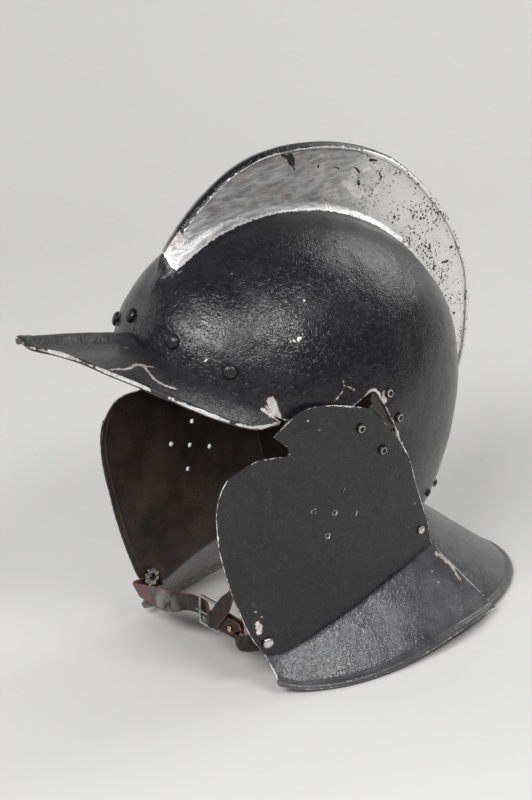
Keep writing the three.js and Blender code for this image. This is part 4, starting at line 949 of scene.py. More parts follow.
def makeCrestLip():
    # the right half's edge, turned down over the left half's crest
    angle = np.linspace(comb["lipStart"], comb["lipEnd"], comb["lipColumns"])
    thick, gap = comb["lipThickness"], comb["lipGap"]
    across, rises = combSteps(angle, thick + gap)
    crest = rises[0] + thick + gap
    depth = crest - comb["lipDepth"] + comb["lipWander"] * unevenness(bowlPoint(angle, 0.0, crest), 9.0, 1.7)
    flank = lerp(across[2], across[3], (rises[2] - depth) / (rises[2] - rises[3]))
    start, near = -comb["crestHalfWidth"] * 0.45, comb["crestHalfWidth"] * comb["crestFlatShare"]
    # across and rise of the edge's outline, from the crest over its outside and back along its inside
    ring = [
        (start, crest - thick * 0.2), (near, crest + thick * 0.15),
        (across[2] + gap + thick, rises[2] + thick * 0.6), (flank + gap + thick, depth),
        (flank + gap, depth - 0.1), (across[2] + gap, rises[2]), (near, crest - thick),
        (start, crest - thick * 0.8),
    ]
    ringAcross, ringRise = np.stack([np.broadcast_arrays(*pair, angle)[:2] for pair in ring], 1)
    sections = bowlPoint(angle[None], 0.0, ringRise)
    sections[..., 0] = ringAcross
    loop = np.concatenate([sections, sections[:1]])
    fine = splineAt(loop, np.linspace(0, 1, comb["lipSides"] + 1)[:-1]).transpose(1, 0, 2)
    points, faces = tube(fine.mean(1), fine)
    piece = addPiece("crestLip", points, faces, [plateSkin], sharpAngle=60)
    # painted over the top in front, and worn bare behind but for a thin line along the crest
    below = crest[:, None] + bowlRadius(angle)[:, None] - np.linalg.norm(fine[..., 1:], axis=-1)
    cover = through(comb["lipPaint"], angle)[:, None]
    mark(piece, edge=5.0, rub=0.0, thin=0.0, painted=np.concatenate([(cover - below).ravel(), [1, 1]]),
         rearward=np.concatenate([np.repeat(rearwardAt(angle), comb["lipSides"]), [0, 1]]))
    markWear(piece, points)
    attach(piece, "helmet")


for side in (1, -1):
    makeSkullHalf(side)
makeCrestLip()
print("skull, comb and peak ready")


cheek = {
    "reach": 80, "height": 156.5, "topRise": 26.5, "ahead": 15, "standOff": 2.2,
    "widthShares": [
        (-0.3, 0.8), (0, 0.817), (0.256, 0.835), (0.447, 0.862), (0.543, 0.889), (0.639, 0.917),
        (0.773, 0.95), (0.831, 0.968), (0.907, 0.982), (1, 0.99), (1.15, 0.995)],
    "frontDrawIn": 14.8, "rearDrawIn": 5.9, "widestShare": 0.06,
    "frontShares": [
        (-0.6375, 0.899), (-0.73, 0.84), (-0.843, 0.8), (-0.929, 0.754), (-0.985, 0.69), (-1.002, 0.623),
        (-0.992, 0.555), (-0.95, 0.435), (-0.88, 0.307), (-0.8, 0.192), (-0.728, 0.105), (-0.67, 0.05),
        (-0.594, 0)],
    "topShares": [
        (-0.6375, 0.899), (-0.585, 0.928), (-0.464, 0.979), (-0.35, 1), (-0.165, 0.997), (0.059, 0.972),
        (0.164, 0.957)],
    "rearShares": [
        (0.164, 0.957), (0.341, 0.872), (0.456, 0.81), (0.556, 0.745), (0.6375, 0.668), (0.7, 0.59),
        (0.825, 0.463), (0.8875, 0.385), (0.921, 0.313)],
    "creaseShares": [
        (-0.594, 0), (-0.49, -0.006), (-0.375, 0.008), (-0.225, 0.042), (-0.075, 0.077), (0.2275, 0.141),
        (0.421, 0.191), (0.675, 0.253), (0.921, 0.313)],
    "notchShares": [
        (-0.655, 0.908), (-0.585, 0.88), (-0.515, 0.852), (-0.501, 0.84), (-0.502, 0.826), (-0.518, 0.817),
        (-0.6, 0.818), (-0.68, 0.816), (-0.745, 0.81), (-0.81, 0.795), (-0.87, 0.772), (-0.93, 0.742),
        (-1.05, 0.76), (-1.0, 0.95)],
    "holeRadius": 1.6, "holeCross": 15.3, "holeCrossTilt": 13, "holeShare": (-0.067, 0.547),
    "columns": 96, "rows": 84, "lineInset": 4.2, "lineDepth": 0.45, "lineWidth": 0.9, "lineFade": 2.2,
    "rub": 0.35, "notchLow": 0.8,
    "dents": (0.25, 0.1, 7.7), "notchInside": 45.0, "notchThrough": 90.0, "rodReach": 6.0,
}
flange = {
    "length": 40,
    "rimShares": [
        (0.29, 0.11, -0.45), (0.395, 0.175, -0.49), (0.52, 0.275, -0.545), (0.615, 0.325, -0.65),
        (0.67, 0.35, -0.74), (0.74, 0.375, -0.86), (0.75, 0.45, -0.935), (0.675, 0.65, -1.02),
        (0.31, 1.09, -1.225)],
    "rimBand": 4.5, "rimSwell": 1.1, "swellShares": [(0, 0.35), (0.36, 1), (0.72, 0.8), (1, 0)],
    # thin: how much lighter grey the flange is painted, partly thin paint and partly painted light from above
    "groove": 2.2, "grooveDepth": 0.45, "rows": 20, "grooveRows": 8, "bandRows": 12, "thin": 0.75,
    "bendPasses": 6,
}
footHeight = cheek["topRise"] - cheek["height"]


def cheekSide(shares):
    shares = np.asarray(shares, float)
    return np.stack([cheek["reach"] * shares[..., 0] - cheek["ahead"],
                     footHeight + cheek["height"] * shares[..., 1]], -1)


def cheekFace(setback, height, inset=0.0):
    share = (height - footHeight) / cheek["height"]
    start = (setback - cheek["reach"] * cheek["widestShare"] + cheek["ahead"]) / cheek["reach"]
    drawIn = np.where(start < 0, cheek["frontDrawIn"], cheek["rearDrawIn"])
    half = (skull["halfWidth"] + cheek["standOff"]) * through(cheek["widthShares"], share)
    return np.stack(np.broadcast_arrays(half - drawIn * start * start - inset, setback, height), -1)


def withRim(rows, rim):
    # carries a grid on from its last row out to a swollen rim, and eases the bend between them
    bend = rows[-1]
    length = np.linalg.norm(rim - bend, axis=-1)[:, None]
    edged = flange["rimBand"] + flange["groove"]
    flatShares = np.linspace(0, 1, flange["rows"] + 1)[1:]
    grooveShares = np.linspace(1, 0, flange["grooveRows"] + 1)[1:]
    backShares = np.linspace(1, 0, flange["bandRows"] + 1)[1:]
    flat = [lerp(bend, rim, share * (1 - edged / length)) for share in flatShares]
    sunk = [lerp(bend, rim, 1 - (flange["rimBand"] + flange["groove"] * share) / length)
            for share in grooveShares]
    band = [lerp(bend, rim, 1 - flange["rimBand"] * share / length) for share in backShares]
    out = np.concatenate([rows, np.array(flat), np.array(sunk), np.array(band)])
    at = len(rows) - 1
    for _ in range(flange["bendPasses"]):
        out[at - 2:at + 3] = (out[at - 3:at + 2] + 2 * out[at - 2:at + 3] + out[at - 1:at + 4]) / 4
    back = np.concatenate([np.ones(len(out) - len(backShares)), backShares])
    dip = np.zeros(len(out))
    dip[-len(sunk) - len(band):-len(band)] = np.sin(math.pi * grooveShares) ** 2
    swell = flange["rimSwell"] * through(flange["swellShares"], back) - flange["grooveDepth"] * dip
    return out, np.broadcast_to(swell[:, None], out.shape[:2])


def cheekGrid():
    u = through([(0, 0), (0.25, 0.13), (1, 1)], np.linspace(0, 1, cheek["columns"] + 1))
    v = np.linspace(0, 1, cheek["rows"] + 1)
    top, low = splineAt(cheekSide(cheek["topShares"]), u), splineAt(cheekSide(cheek["creaseShares"]), u)
    front, rear = splineAt(cheekSide(cheek["frontShares"]), v), splineAt(cheekSide(cheek["rearShares"]), v)
    side = coonsAt(top, low, front, rear, u[None, :, None], v[:, None, None])
    rows = cheekFace(side[..., 0], side[..., 1])
    shares = flange["rimShares"]
    places = np.linspace(0, 1, len(shares))
    rim = rows[-1] + flange["length"] * np.stack(
        [through(list(zip(places, [s[k] for s in shares])), u) for k in range(3)], -1)
    return withRim(rows, rim)


def rodCutter(start, end, radius, sides=24):
    # a round rod that cuts a hole from start to end
    length = np.linalg.norm(end - start)
    points, faces = lathe([(0, 0), (radius, 0), (radius, length), (0, length)], sides, start, end - start)
    return addPiece("cutter", points, faces, [plateSkin])


def holePlaces():
    middle = cheekSide(cheek["holeShare"])
    turns = np.radians(90 * np.arange(4) - cheek["holeCrossTilt"])
    around = middle + cheek["holeCross"] * np.stack([np.cos(turns), np.sin(turns)], -1)
    return np.vstack([middle, around])


def notchCutter(flip):
    outline = cheekSide(cheek["notchShares"])
    inner = np.column_stack([np.full(len(outline), cheek["notchInside"]), outline])
    points = np.vstack([inner, inner + [cheek["notchThrough"], 0, 0]]) * flip
    count = len(outline)
    faces = [list(range(count)), list(range(2 * count - 1, count - 1, -1))]
    faces += [[i, i + count, (i + 1) % count + count, (i + 1) % count] for i in range(count)]
    cutter = addPiece("cutter", points, faces, [plateSkin])
    work = bmesh.new()
    work.from_mesh(cutter.data)
    bmesh.ops.recalc_face_normals(work, faces=work.faces)
    work.to_mesh(cutter.data)
    work.free()
    return cutter


hinge = {
    "length": 21, "slope": 48, "middleShare": (0.3, 0.905), "depth": 2.9,
    "knuckleRadius": 2.1, "pinRadius": 1.1, "leafThickness": 1.0, "leafSpread": 24, "leafHalfLength": 20,
    "skullRivetShares": [(-0.35, 0.56), (0.52, 0.35)], "cheekRivetShares": [(-0.465, 0.625), (0.8, 0.53)],
}
hingeSide = cheekSide(hinge["middleShare"])
hingeMiddle = cheekFace(hingeSide[0], hingeSide[1], hinge["depth"])
slope = math.radians(hinge["slope"])
hingeAlong = np.array([0, math.cos(slope), -math.sin(slope)])
hingeAcross = np.array([0, math.sin(slope), math.cos(slope)])


def onHinge(along):
    return hingeMiddle + hingeAlong * along


def makeCheekpiece(side):
    rows, swell = cheekGrid()
    normals = gridNormals(rows)
    frontLine = cheekFace(*splineAt(cheekSide(cheek["frontShares"]), np.linspace(0, 1, 400)).T)
    frontAway = distanceTo(rows.reshape(-1, 3), frontLine).reshape(rows.shape[:2])
    line = -cheek["lineDepth"] * np.exp(-(((frontAway - cheek["lineInset"]) / cheek["lineWidth"]) ** 2))
    line[cheek["rows"] + 1:] = 0
    rows = rows + normals * line[..., None]
    if side < 0:
        rows, normals = mirrorX(rows), mirrorX(normals)
    rows = hammered(rows, normals, cheek["dents"], side)
    piece, _ = addPlate("cheekpieceLeft" if side > 0 else "cheekpieceRight", rows, normals, swell)
    flip = np.array([side, 1, 1])
    cutters = [notchCutter(flip)]
    for setback, height in holePlaces():
        inside = cheekFace(setback, height, cheek["rodReach"]) * flip
        outside = cheekFace(setback, height, -cheek["rodReach"]) * flip
        cutters.append(rodCutter(inside, outside, cheek["holeRadius"]))
    room = hinge["length"] / 2 + hinge["pinRadius"] + fits["gap"]
    radius = hinge["knuckleRadius"] + fits["gap"]
    cutters.append(rodCutter(onHinge(-room) * flip, onHinge(room) * flip, radius))
    carve(piece, cutters, 45)
    here = levelPoints(piece)
    notch = cheekSide(cheek["notchShares"] + cheek["notchShares"][:1])
    notchLine = dense(cheekFace(notch[:, 0], notch[:, 1]) * flip)
    upright = here[:, 2] > footHeight + cheek["notchLow"] * cheek["height"]
    edge = distanceTo(here, np.concatenate([rows[0], rows[:, 0], rows[-1], rows[:, -1]]))
    edge = np.where(upright, np.minimum(edge, distanceTo(here, notchLine)), edge)
    for setback, height in holePlaces():
        ring = cheekFace(setback, height) * flip
        edge = np.minimum(edge, np.linalg.norm(here - ring, axis=1) - cheek["holeRadius"])
    lineAway = np.abs(distanceTo(here, frontLine * flip) - cheek["lineInset"])
    crease = dense(rows[cheek["rows"]])
    # the flange is painted a lighter grey from 2 mm below the crease, partly as thin paint and partly as
    # light falling on its upward face
    onFlange = here[:, 2] < np.interp(here[:, 1], crease[:, 1], crease[:, 2])
    thin = np.clip(distanceTo(here, crease) * np.where(onFlange, 1, -1) / 2, 0, 1) * flange["thin"]
    edge = np.minimum(edge, lineAway * cheek["lineFade"] + 1.0)
    mark(piece, edge=edge, painted=wear["fullPaint"], thin=thin, rub=cheek["rub"], rearward=0.0)
    markWear(piece, here)
    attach(piece, "cheek_left" if side > 0 else "cheek_right")
    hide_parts("cheekpiece_left" if side > 0 else "cheekpiece_right")


for side in (1, -1):
    makeCheekpiece(side)
print("cheekpieces ready")


guard = {
    "centreSetback": 30, "collarHeight": 14, "bendDrop": 13, "sideReach": 5, "reach": 136,
    # thin: how much lighter grey the flare is painted, partly thin paint and partly painted light from above
    "rimSideDrop": 5, "rimRearRise": 5, "endAngle": 9, "columns": 156, "rub": 0.25, "thin": 0.6,
    "dents": (0.2, 0.09, 12.3), "collarRows": 12, "bendRows": 10,
}
guardInset = fits["plate"] + 2 * fits["gap"]


def collarReach(turn, height):
    # how far the collar is from its centre, just inside the bowl, at a turn and a height
    def isInside(reach):
        x = reach * np.cos(np.radians(turn))
        y = guard["centreSetback"] + reach * np.sin(np.radians(turn))
        angle = np.degrees(np.arctan2(height, -y)) % 360
        side = np.hypot(y, height) / (bowlRadius(angle) - guardInset)
        across = x / (bowlHalfWidth(angle) - guardInset)
        return side * side + across * across < 1

    return bisected(np.zeros(np.shape(turn)), np.full(np.shape(turn), float(guard["reach"])), isInside)


def guardPlace(turn, reachX, reachY, height):
    across, back = reachX * np.cos(np.radians(turn)), reachY * np.sin(np.radians(turn))
    return np.stack(np.broadcast_arrays(across, guard["centreSetback"] + back, height), -1)


def makeNeckGuard():
    turns = lerp(guard["endAngle"], 180.0 - guard["endAngle"], np.linspace(0, 1, guard["columns"] + 1))
    edgeHeight = -float(skull["napeDrop"])
    heights = np.concatenate([
        np.linspace(edgeHeight + guard["collarHeight"], edgeHeight, guard["collarRows"]),
        np.linspace(edgeHeight, edgeHeight - guard["bendDrop"], guard["bendRows"])[1:],
    ])
    collar = []
    for height in heights:
        reach = collarReach(turns, max(height, edgeHeight))
        collar.append(guardPlace(turns, reach, reach, height))
    rimHeight = footHeight + lerp(-guard["rimSideDrop"], guard["rimRearRise"], np.sin(np.radians(turns)) ** 2)
    rim = guardPlace(turns, skull["halfWidth"] + guard["sideReach"], guard["reach"], rimHeight)
    rows, swell = withRim(np.array(collar), rim)
    normals = gridNormals(rows)
    rows = hammered(rows, normals, guard["dents"])
    piece, points = addPlate("neckGuard", rows, normals, swell)
    border = np.concatenate([rows[:, 0], rows[-1], rows[:, -1]])
    # the flare is made a lighter grey, partly as thin paint and partly as painted light from above
    thin = np.zeros(rows.shape[:2])
    thin[len(heights):] = guard["thin"]
    mark(piece, edge=distanceTo(points, border), painted=wear["fullPaint"], rub=guard["rub"], rearward=0.0,
         thin=onShell(points, thin.ravel(), thin.ravel(), 0.0))
    markWear(piece, points)
    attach(piece, "helmet")
    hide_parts("neck_guard")


makeNeckGuard()
print("neck guard ready")


rivets = {
    "brow": {"radius": 4.7, "places": [(31.6, 20.5), (30.6, 42.3)], "middle": (33.6, -4.2)},
    "hingeRadius": 3.2,
    "nape": {"radius": 2.6, "rise": 9, "turns": (35, 53)},
    "corner": {"radius": 2.9, "share": (0.8075, 0.377)},
    "strap": {"radius": 3.7, "share": (-0.569, 0.046)},
    "shank": 0.4, "tail": 0.68, "tailHeight": 0.22, "headHeight": 0.62, "sides": 40, "rimHeight": 0.12,
    "groove": (0.55, 0.72, 0.1), "dimple": (0.3, 0.14), "wobble": 0.05, "paintedHighlightRing": (0.62, 0.11),
}


def rivetProfile(radius, grip, ringed):
    # a domed head, its shank and its spread tail; ringed heads have a groove and a worn dimple
    shank, tail = radius * rivets["shank"], radius * rivets["tail"]
    foot, gap, height = -grip - fits["gap"], fits["gap"], radius * rivets["headHeight"]
    low = foot - radius * rivets["tailHeight"]
    rim = rivets["rimHeight"]
    profile = [(0, low), (tail * 0.55, low), (tail * 0.85, low + 0.25 * (foot - low)), (tail, foot),
               (shank, foot), (shank, gap), (radius * 0.985, gap), (radius, gap + height * rim)]
    grooveInner, grooveOuter, grooveDepth = rivets["groove"]
    dimpleReach, dimpleDepth = rivets["dimple"]
    for turn in np.radians(np.linspace(16, 84, 12)):  # the dome, from its rim up
        swell = radius * math.cos(turn) ** 0.85
        rise = gap + height * (rim + (1 - rim) * math.sin(turn))
        if ringed and grooveInner < swell / radius < grooveOuter:
            rise -= height * grooveDepth
        if ringed and swell / radius < dimpleReach:
            rise -= height * dimpleDepth
        profile.append((swell, rise))
    profile.append((0, gap + height * (1 - dimpleDepth if ringed else 1)))
    return profile


def addRivet(node, seat, radius, body, side, ringed=False, material=rivetIron):
    flip = np.array([side, 1, 1])
    face, normal, grip = seat[0] * flip, seat[1] * flip, seat[2]
    points, faces = lathe(rivetProfile(radius, grip, ringed), rivets["sides"], face, normal)
    up = (points - face) @ normal
    wobble = rivets["wobble"] * radius * unevenness(points, radius * 0.8, 2.2 + side)
    points = points + normal * np.where(up > fits["gap"] * 2, wobble, 0)[:, None]
    piece = addPiece(node + "Head", points, faces, [material], sharpAngle=60)
    high = np.clip((up - fits["gap"]) / (radius * rivets["headHeight"]), 0, 1)
    if ringed:  # a painted highlight: bright in a ring round the dimple
        reach = np.linalg.norm(points - face - up[:, None] * normal, axis=1) / radius
        middle, width = rivets["paintedHighlightRing"]
        high = np.clip(1.5 - np.abs(reach - middle) / width, 0.1, 1) * (high > 0)
    mark(piece, high=high)
    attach(piece, body)
    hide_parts(node)


def bowlSeat(place, grip):
    angle, tilt = float(place[0]), float(place[1])
    return bowlPoint(angle, tilt), bowlNormal(angle, tilt), grip


def bowlFace(setback, height):
    return bowlPoint(*bowlPlace(setback, height))


def seatOn(faceAt, setback, height, grip):
    step = fits["plate"]
    along = faceAt(setback + step, height) - faceAt(setback - step, height)
    up = faceAt(setback, height + step) - faceAt(setback, height - step)
    return faceAt(setback, height), unit(np.cross(along, up)), grip


def leafSeat(faceAt, toward, share):
    side = (onHinge(hinge["leafHalfLength"] * share[0])
            + hingeAcross * toward * hinge["leafSpread"] * share[1])
    return seatOn(faceAt, side[1], side[2], fits["plate"] + fits["leafGap"] + hinge["leafThickness"])


strap = {
    "width": 11, "thickness": 1.8, "turn": 6, "tailLength": 9, "buckleInset": 38.16,
    "buckleSetback": 3, "buckleRise": 5, "foldLength": 22, "studRadius": 2.1, "studShare": 0.76,
    "endLength": 30, "endShares": [(0, 0.03), (0.22, 0.26), (0.46, 0.53), (0.7, 0.84)],
    "endWidthShare": 0.45, "liningThickness": 2, "step": 0.8, "sides": 28, "flatness": (0.22, 0.5),
    "widthWander": 0.02, "crownWander": 0.08, "cutFrom": 0.8, "taperFrom": 0.9, "sharpAngle": 70,
    "sags": [(0, -4.2), (0.2, -4.6), (0.36, -4.8), (0.5, -1.2), (0.56, 0)],
    "spreads": [(0, 0.74), (0.1, 0.84), (0.2, 1.1), (0.3, 1.35), (0.4, 1.3), (0.52, 1)],
    "slants": [(0, 0.5), (0.17, 0.5), (0.36, 0)],
    # how far the leather is faded pink, and how much grey sheen is painted on as a highlight, along each
    # strap
    "shortMarks": {"rosy": [(0, 0), (1, 0)], "sheen": [(0, 0.05), (1, 0.1)]},
    "longMarks": {"rosy": [(0, 0), (0.09, 0.1), (0.14, 1), (0.24, 1), (0.31, 0)],
                  "sheen": [(0.25, 0), (0.31, 0.95), (0.4, 0.7), (0.5, 0.15), (1, 0.05)]},
}
washer = {
    "radius": 6.4, "thickness": 0.9, "lobes": 8, "dipShare": 0.18, "groove": 0.25, "sides": 96,
    # reach and rise of each ring of points, and how deep the grooves between the petals are there
    "layers": [(0.12, 0.0, 0), (0.97, 0.0, 0), (1.0, 0.25, 0), (0.98, 0.62, 0.4), (0.86, 0.9, 1),
               (0.68, 1.0, 1), (0.5, 0.96, 0.6), (0.12, 0.96, 0)],
}
washerInset = fits["plate"] + fits["gap"] + strap["thickness"] + fits["gap"]


def cheekSeat(share, grip):
    setback, height = cheekSide(share)
    return seatOn(cheekFace, setback, height, grip)


strapSeat = cheekSeat(rivets["strap"]["share"], washerInset + washer["thickness"])
browGrip = fits["plate"] + fits["leafGap"] + strap["liningThickness"] + fits["gap"]


def browRivet(node, place, side):
    addRivet(node, bowlSeat(place, browGrip), rivets["brow"]["radius"], "helmet", side, material=browIron)


def makeRivets(side):
    name = "left" if side > 0 else "right"
    cheekBody = "cheek_" + name
    for i, place in enumerate(rivets["brow"]["places"]):
        browRivet(f"brow_rivet_{i + 1}_{name}", place, side)
    for part, body, faceAt, toward in (("skull", "helmet", bowlFace, 1), ("cheek", cheekBody, cheekFace, -1)):
        for i, share in enumerate(hinge[part + "RivetShares"]):
            node = f"{part}_hinge_rivet_{i + 1}_{name}"
            addRivet(node, leafSeat(faceAt, toward, share), rivets["hingeRadius"], body, side, True)
    for i, turn in enumerate(rivets["nape"]["turns"]):
        height = rivets["nape"]["rise"] - skull["napeDrop"]
        reach = collarReach(np.array(float(turn)), height)
        setback = guardPlace(turn, reach, reach, height)[1]
        seat = bowlSeat(bowlPlace(setback, height), guardInset + fits["plate"] + fits["gap"])
        node = f"nape_rivet_{i + 1}_{name}"
        addRivet(node, seat, rivets["nape"]["radius"], "helmet", side, material=browIron)
    corner = cheekSeat(rivets["corner"]["share"], fits["plate"])
    for kind, seat in (("corner", corner), ("strap", strapSeat)):
        addRivet(f"{kind}_rivet_{name}", seat, rivets[kind]["radius"], cheekBody, side, material=brightIron)


browRivet("brow_rivet_middle", rivets["brow"]["middle"], 1)
for side in (1, -1):
    makeRivets(side)
for side in ("left", "right"):
    for node in ("skull_hinge_leaf_", "cheek_hinge_leaf_", "hinge_pin_"):
        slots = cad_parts[node + side].data.materials
        slots.clear()
        slots.append(leafIron)
print("rivets and hinges ready")


buckle = {
    "halfLength": 11, "halfWidth": 8.6, "wire": 1.1, "wireSides": 18, "unevenShare": 0.05,
    "tongueWire": 0.8, "tongueSides": 16, "tongueEnd": 0.62,
}
upward = np.array([0.0, 0.0, 1.0])


def strapRoot(side):
    setback, height = cheekSide(rivets["strap"]["share"])
    inset = fits["plate"] + fits["gap"] + strap["thickness"] / 2

    def inside(forward):
        return cheekFace(setback - forward, height, inset) * np.array([side, 1, 1])

    corner = inside(washer["radius"] + fits["leafGap"])
    turns = np.radians([22.5, 45, 67.5, 90])
    turn = [corner + np.array([-side * strap["turn"] * (1 - math.cos(t)), -strap["turn"] * math.sin(t), 0])
            for t in turns]
    return [inside(-strap["tailLength"]), inside(-strap["tailLength"] / 2), inside(0), corner] + turn


rootLeft, rootRight = strapRoot(1), strapRoot(-1)
bendLeft, bendRight = rootLeft[-1], rootRight[-1]
buckleCentre = bendLeft + np.array([-strap["buckleInset"], strap["buckleSetback"], strap["buckleRise"]])
layer = buckle["wire"] + fits["gap"] + strap["thickness"] / 2


def inBuckle(along, out, up):
    return buckleCentre + np.stack(np.broadcast_arrays(
        np.asarray(along, float), -np.asarray(out, float), np.asarray(up, float)), -1)


def resampled(path, step):
    # the same smooth path with points step apart
    path = np.asarray(path, float)
    fine = splineAt(path, np.linspace(0, 1, 60 * len(path)))
    run = np.concatenate([[0], np.cumsum(np.linalg.norm(np.diff(fine, axis=0), axis=1))])
    at = np.linspace(0, run[-1], int(run[-1] / step) + 1)
    return np.stack([np.interp(at, run, fine[:, k]) for k in range(3)], -1), at / run[-1]


def makeStrap(name, path, marks, endTaper, soft=None):
    # soft has sags that lower the leather, spreads that widen it and slants that push its lower edge back
    centres, share = resampled(path, strap["step"])
    if soft:
        centres[:, 2] += through(soft["sags"], share)
    run = unit(np.gradient(centres, axis=0))
    thickWay = unit(np.cross(run, upward))
    wideWay = unit(np.cross(thickWay, run))
    turns = fullTurn(strap["sides"])
    cos, sin = np.cos(turns), np.sin(turns)
    wide, thick = (np.sign(way) * np.abs(way) ** power for way, power in zip((cos, sin), strap["flatness"]))
    tapered = (1 - endTaper) * through([(strap["taperFrom"], 0), (1, 1)], share)
    halfWidth = strap["width"] / 2 * (1 - tapered)
    halfWidth = halfWidth * (1 + strap["widthWander"] * unevenness(centres, 7.0, 4.4))
    if soft:
        halfWidth = halfWidth * through(soft["spreads"], share)
    crown = 1 + strap["crownWander"] * unevenness(centres, 5.0, 8.8)
    sections = (centres[:, None] + wideWay[:, None] * wide[None, :, None] * halfWidth[:, None, None]
                + thickWay[:, None] * thick[None, :, None] * crown[:, None, None] * strap["thickness"] / 2)
    if soft:
        drop = centres[:, None, 2] - sections[..., 2]
        sections[..., 1] += drop * through(soft["slants"], share)[:, None]
    points, faces = tube(centres[[0, -1]], sections)
    piece = addPiece(name, points, faces, [strapLeather], sharpAngle=strap["sharpAngle"])
    cut = np.tile(np.where(np.abs(cos) > strap["cutFrom"], np.abs(wide), 0), len(centres))
    mark(piece, cut=np.concatenate([cut, [1, 1]]), **{
        label: np.concatenate([np.repeat(through(table, share), len(turns)), [0, 0]])
        for label, table in marks.items()})
    return piece


def finishStrap(piece, body, node, cutters):
    carve(piece, cutters, strap["sharpAngle"])
    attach(piece, body)
    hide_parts(node)


def makeStraps():
    bar = buckle["halfLength"]
    fold = bar + strap["foldLength"]
    wrap = [inBuckle(bar - layer * math.sin(math.pi * t), layer * math.cos(math.pi * t), 0)
            for t in np.linspace(0, 1, 7)]
    front = inBuckle(fold, layer, 0)
    shortPath = rootLeft + [lerp(bendLeft, front, 0.6), front] + wrap + [inBuckle(fold, -layer, 0)]
    over = layer + strap["thickness"] + fits["gap"]
    enter = inBuckle(-bar - strap["turn"], -layer, 0)
    longPath = rootRight + [lerp(bendRight, enter, 0.33), lerp(bendRight, enter, 0.67), enter]
    longPath += [inBuckle(-bar, -layer, 0), inBuckle(-bar / 2, -layer / 2, 0), inBuckle(bar / 2, over, 0)]
    longPath += [inBuckle(bar + strap["endLength"] * along, over, strap["endLength"] * up)
                 for along, up in strap["endShares"]]
    # room for the tongue when it is lifted, and where it lies
    tongueOver = buckle["wire"] + fits["gap"] + buckle["tongueWire"]
    eye = math.hypot(tongueOver + buckle["tongueWire"] + fits["gap"], layer + strap["thickness"] / 2)
    eyeHalf = 2 * buckle["tongueWire"] + fits["gap"]
    eyeCutter = rodCutter(inBuckle(bar, 0, -eyeHalf), inBuckle(bar, 0, eyeHalf), eye + fits["gap"])
    tongueCutter = rodCutter(
        inBuckle(bar - buckle["tongueWire"], tongueOver, 0),
        inBuckle(-bar - 2 * buckle["wire"], tongueOver, 0), buckle["tongueWire"] + fits["gap"])
    shortStrap = makeStrap("strapShortLeather", shortPath, strap["shortMarks"], 1.0)
    finishStrap(shortStrap, "cheek_left", "strap_short", [eyeCutter])
    longStrap = makeStrap("strapLongLeather", longPath, strap["longMarks"], strap["endWidthShare"], strap)
    finishStrap(longStrap, "cheek_right", "strap_long", [tongueCutter])


def makeBuckle():
    corner = buckle["wire"] * 2
    path = []
    for i, (a, b) in enumerate([(1, 1), (-1, 1), (-1, -1), (1, -1)]):
        for turn in np.linspace(0, 90, 9):
            angle = math.radians(90 * i + turn)
            path.append((a * (buckle["halfLength"] - corner) + corner * math.cos(angle),
                         b * (buckle["halfWidth"] - corner) + corner * math.sin(angle)))
    path = np.array(path)
    ways = unit(np.roll(path, -1, 0) - np.roll(path, 1, 0))
    turns = fullTurn(buckle["wireSides"])
    wobble = buckle["unevenShare"] * unevenness(np.column_stack([path, path[:, 0] * 0]), 6.0, 1.1)
    wireRadius = (buckle["wire"] * (1 + wobble))[:, None]
    side = wireRadius * np.cos(turns)
    sections = inBuckle(path[:, :1] + ways[:, 1:] * side, wireRadius * np.sin(turns),
                        path[:, 1:] - ways[:, :1] * side)
    points, faces = tube(None, sections, closed=True)
    piece = addPiece("buckleWire", points, faces, [wireIron])
    mark(piece, high=np.tile(0.5 + 0.5 * np.sin(turns), len(path)))
    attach(piece, "buckle")
    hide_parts("buckle_frame")


def makeTongue():
    # a wire that grips the bar in a loop and lies over the far bar
    radius, bar = buckle["tongueWire"], buckle["halfLength"]
    over = buckle["wire"] + fits["gap"] + radius
    loop = [inBuckle(bar + over * math.cos(t), over * math.sin(t), 0)
            for t in np.radians(np.linspace(90, 400, 40))]
    arm = [inBuckle(x, over, 0) for x in np.linspace(-bar - 2 * buckle["wire"], bar - 0.4, 30)]
    taper = np.clip(np.linspace(buckle["tongueEnd"], 1.4, len(arm)), 0, 1)
    turns = fullTurn(buckle["tongueSides"])
    straight = np.ones(len(loop))
    for label, path, widths, tall in (("tongueLoop", loop, straight, 2.0), ("tongueArm", arm, taper, 1.0)):
        path = np.array(path)
        aside = unit(np.cross(unit(np.gradient(path, axis=0)), upward))
        ring = aside[:, None] * np.cos(turns)[:, None] + upward * np.sin(turns)[:, None] * tall
        points, faces = tube(path[[0, -1]], path[:, None] + radius * widths[:, None, None] * ring)
        piece = addPiece(label, points, faces, [wireIron])
        mark(piece, high=0.7)
        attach(piece, "tongue")
    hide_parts("buckle_tongue")


def makeStud():
    bar = buckle["halfLength"]
    face = inBuckle(bar + strap["foldLength"] * strap["studShare"], layer + strap["thickness"] / 2, 0)
    grip = 2 * layer + strap["thickness"]
    addRivet("strap_stud", (face, np.array([0.0, -1.0, 0.0]), grip), strap["studRadius"], "cheek_left", 1,
             material=studBrass)


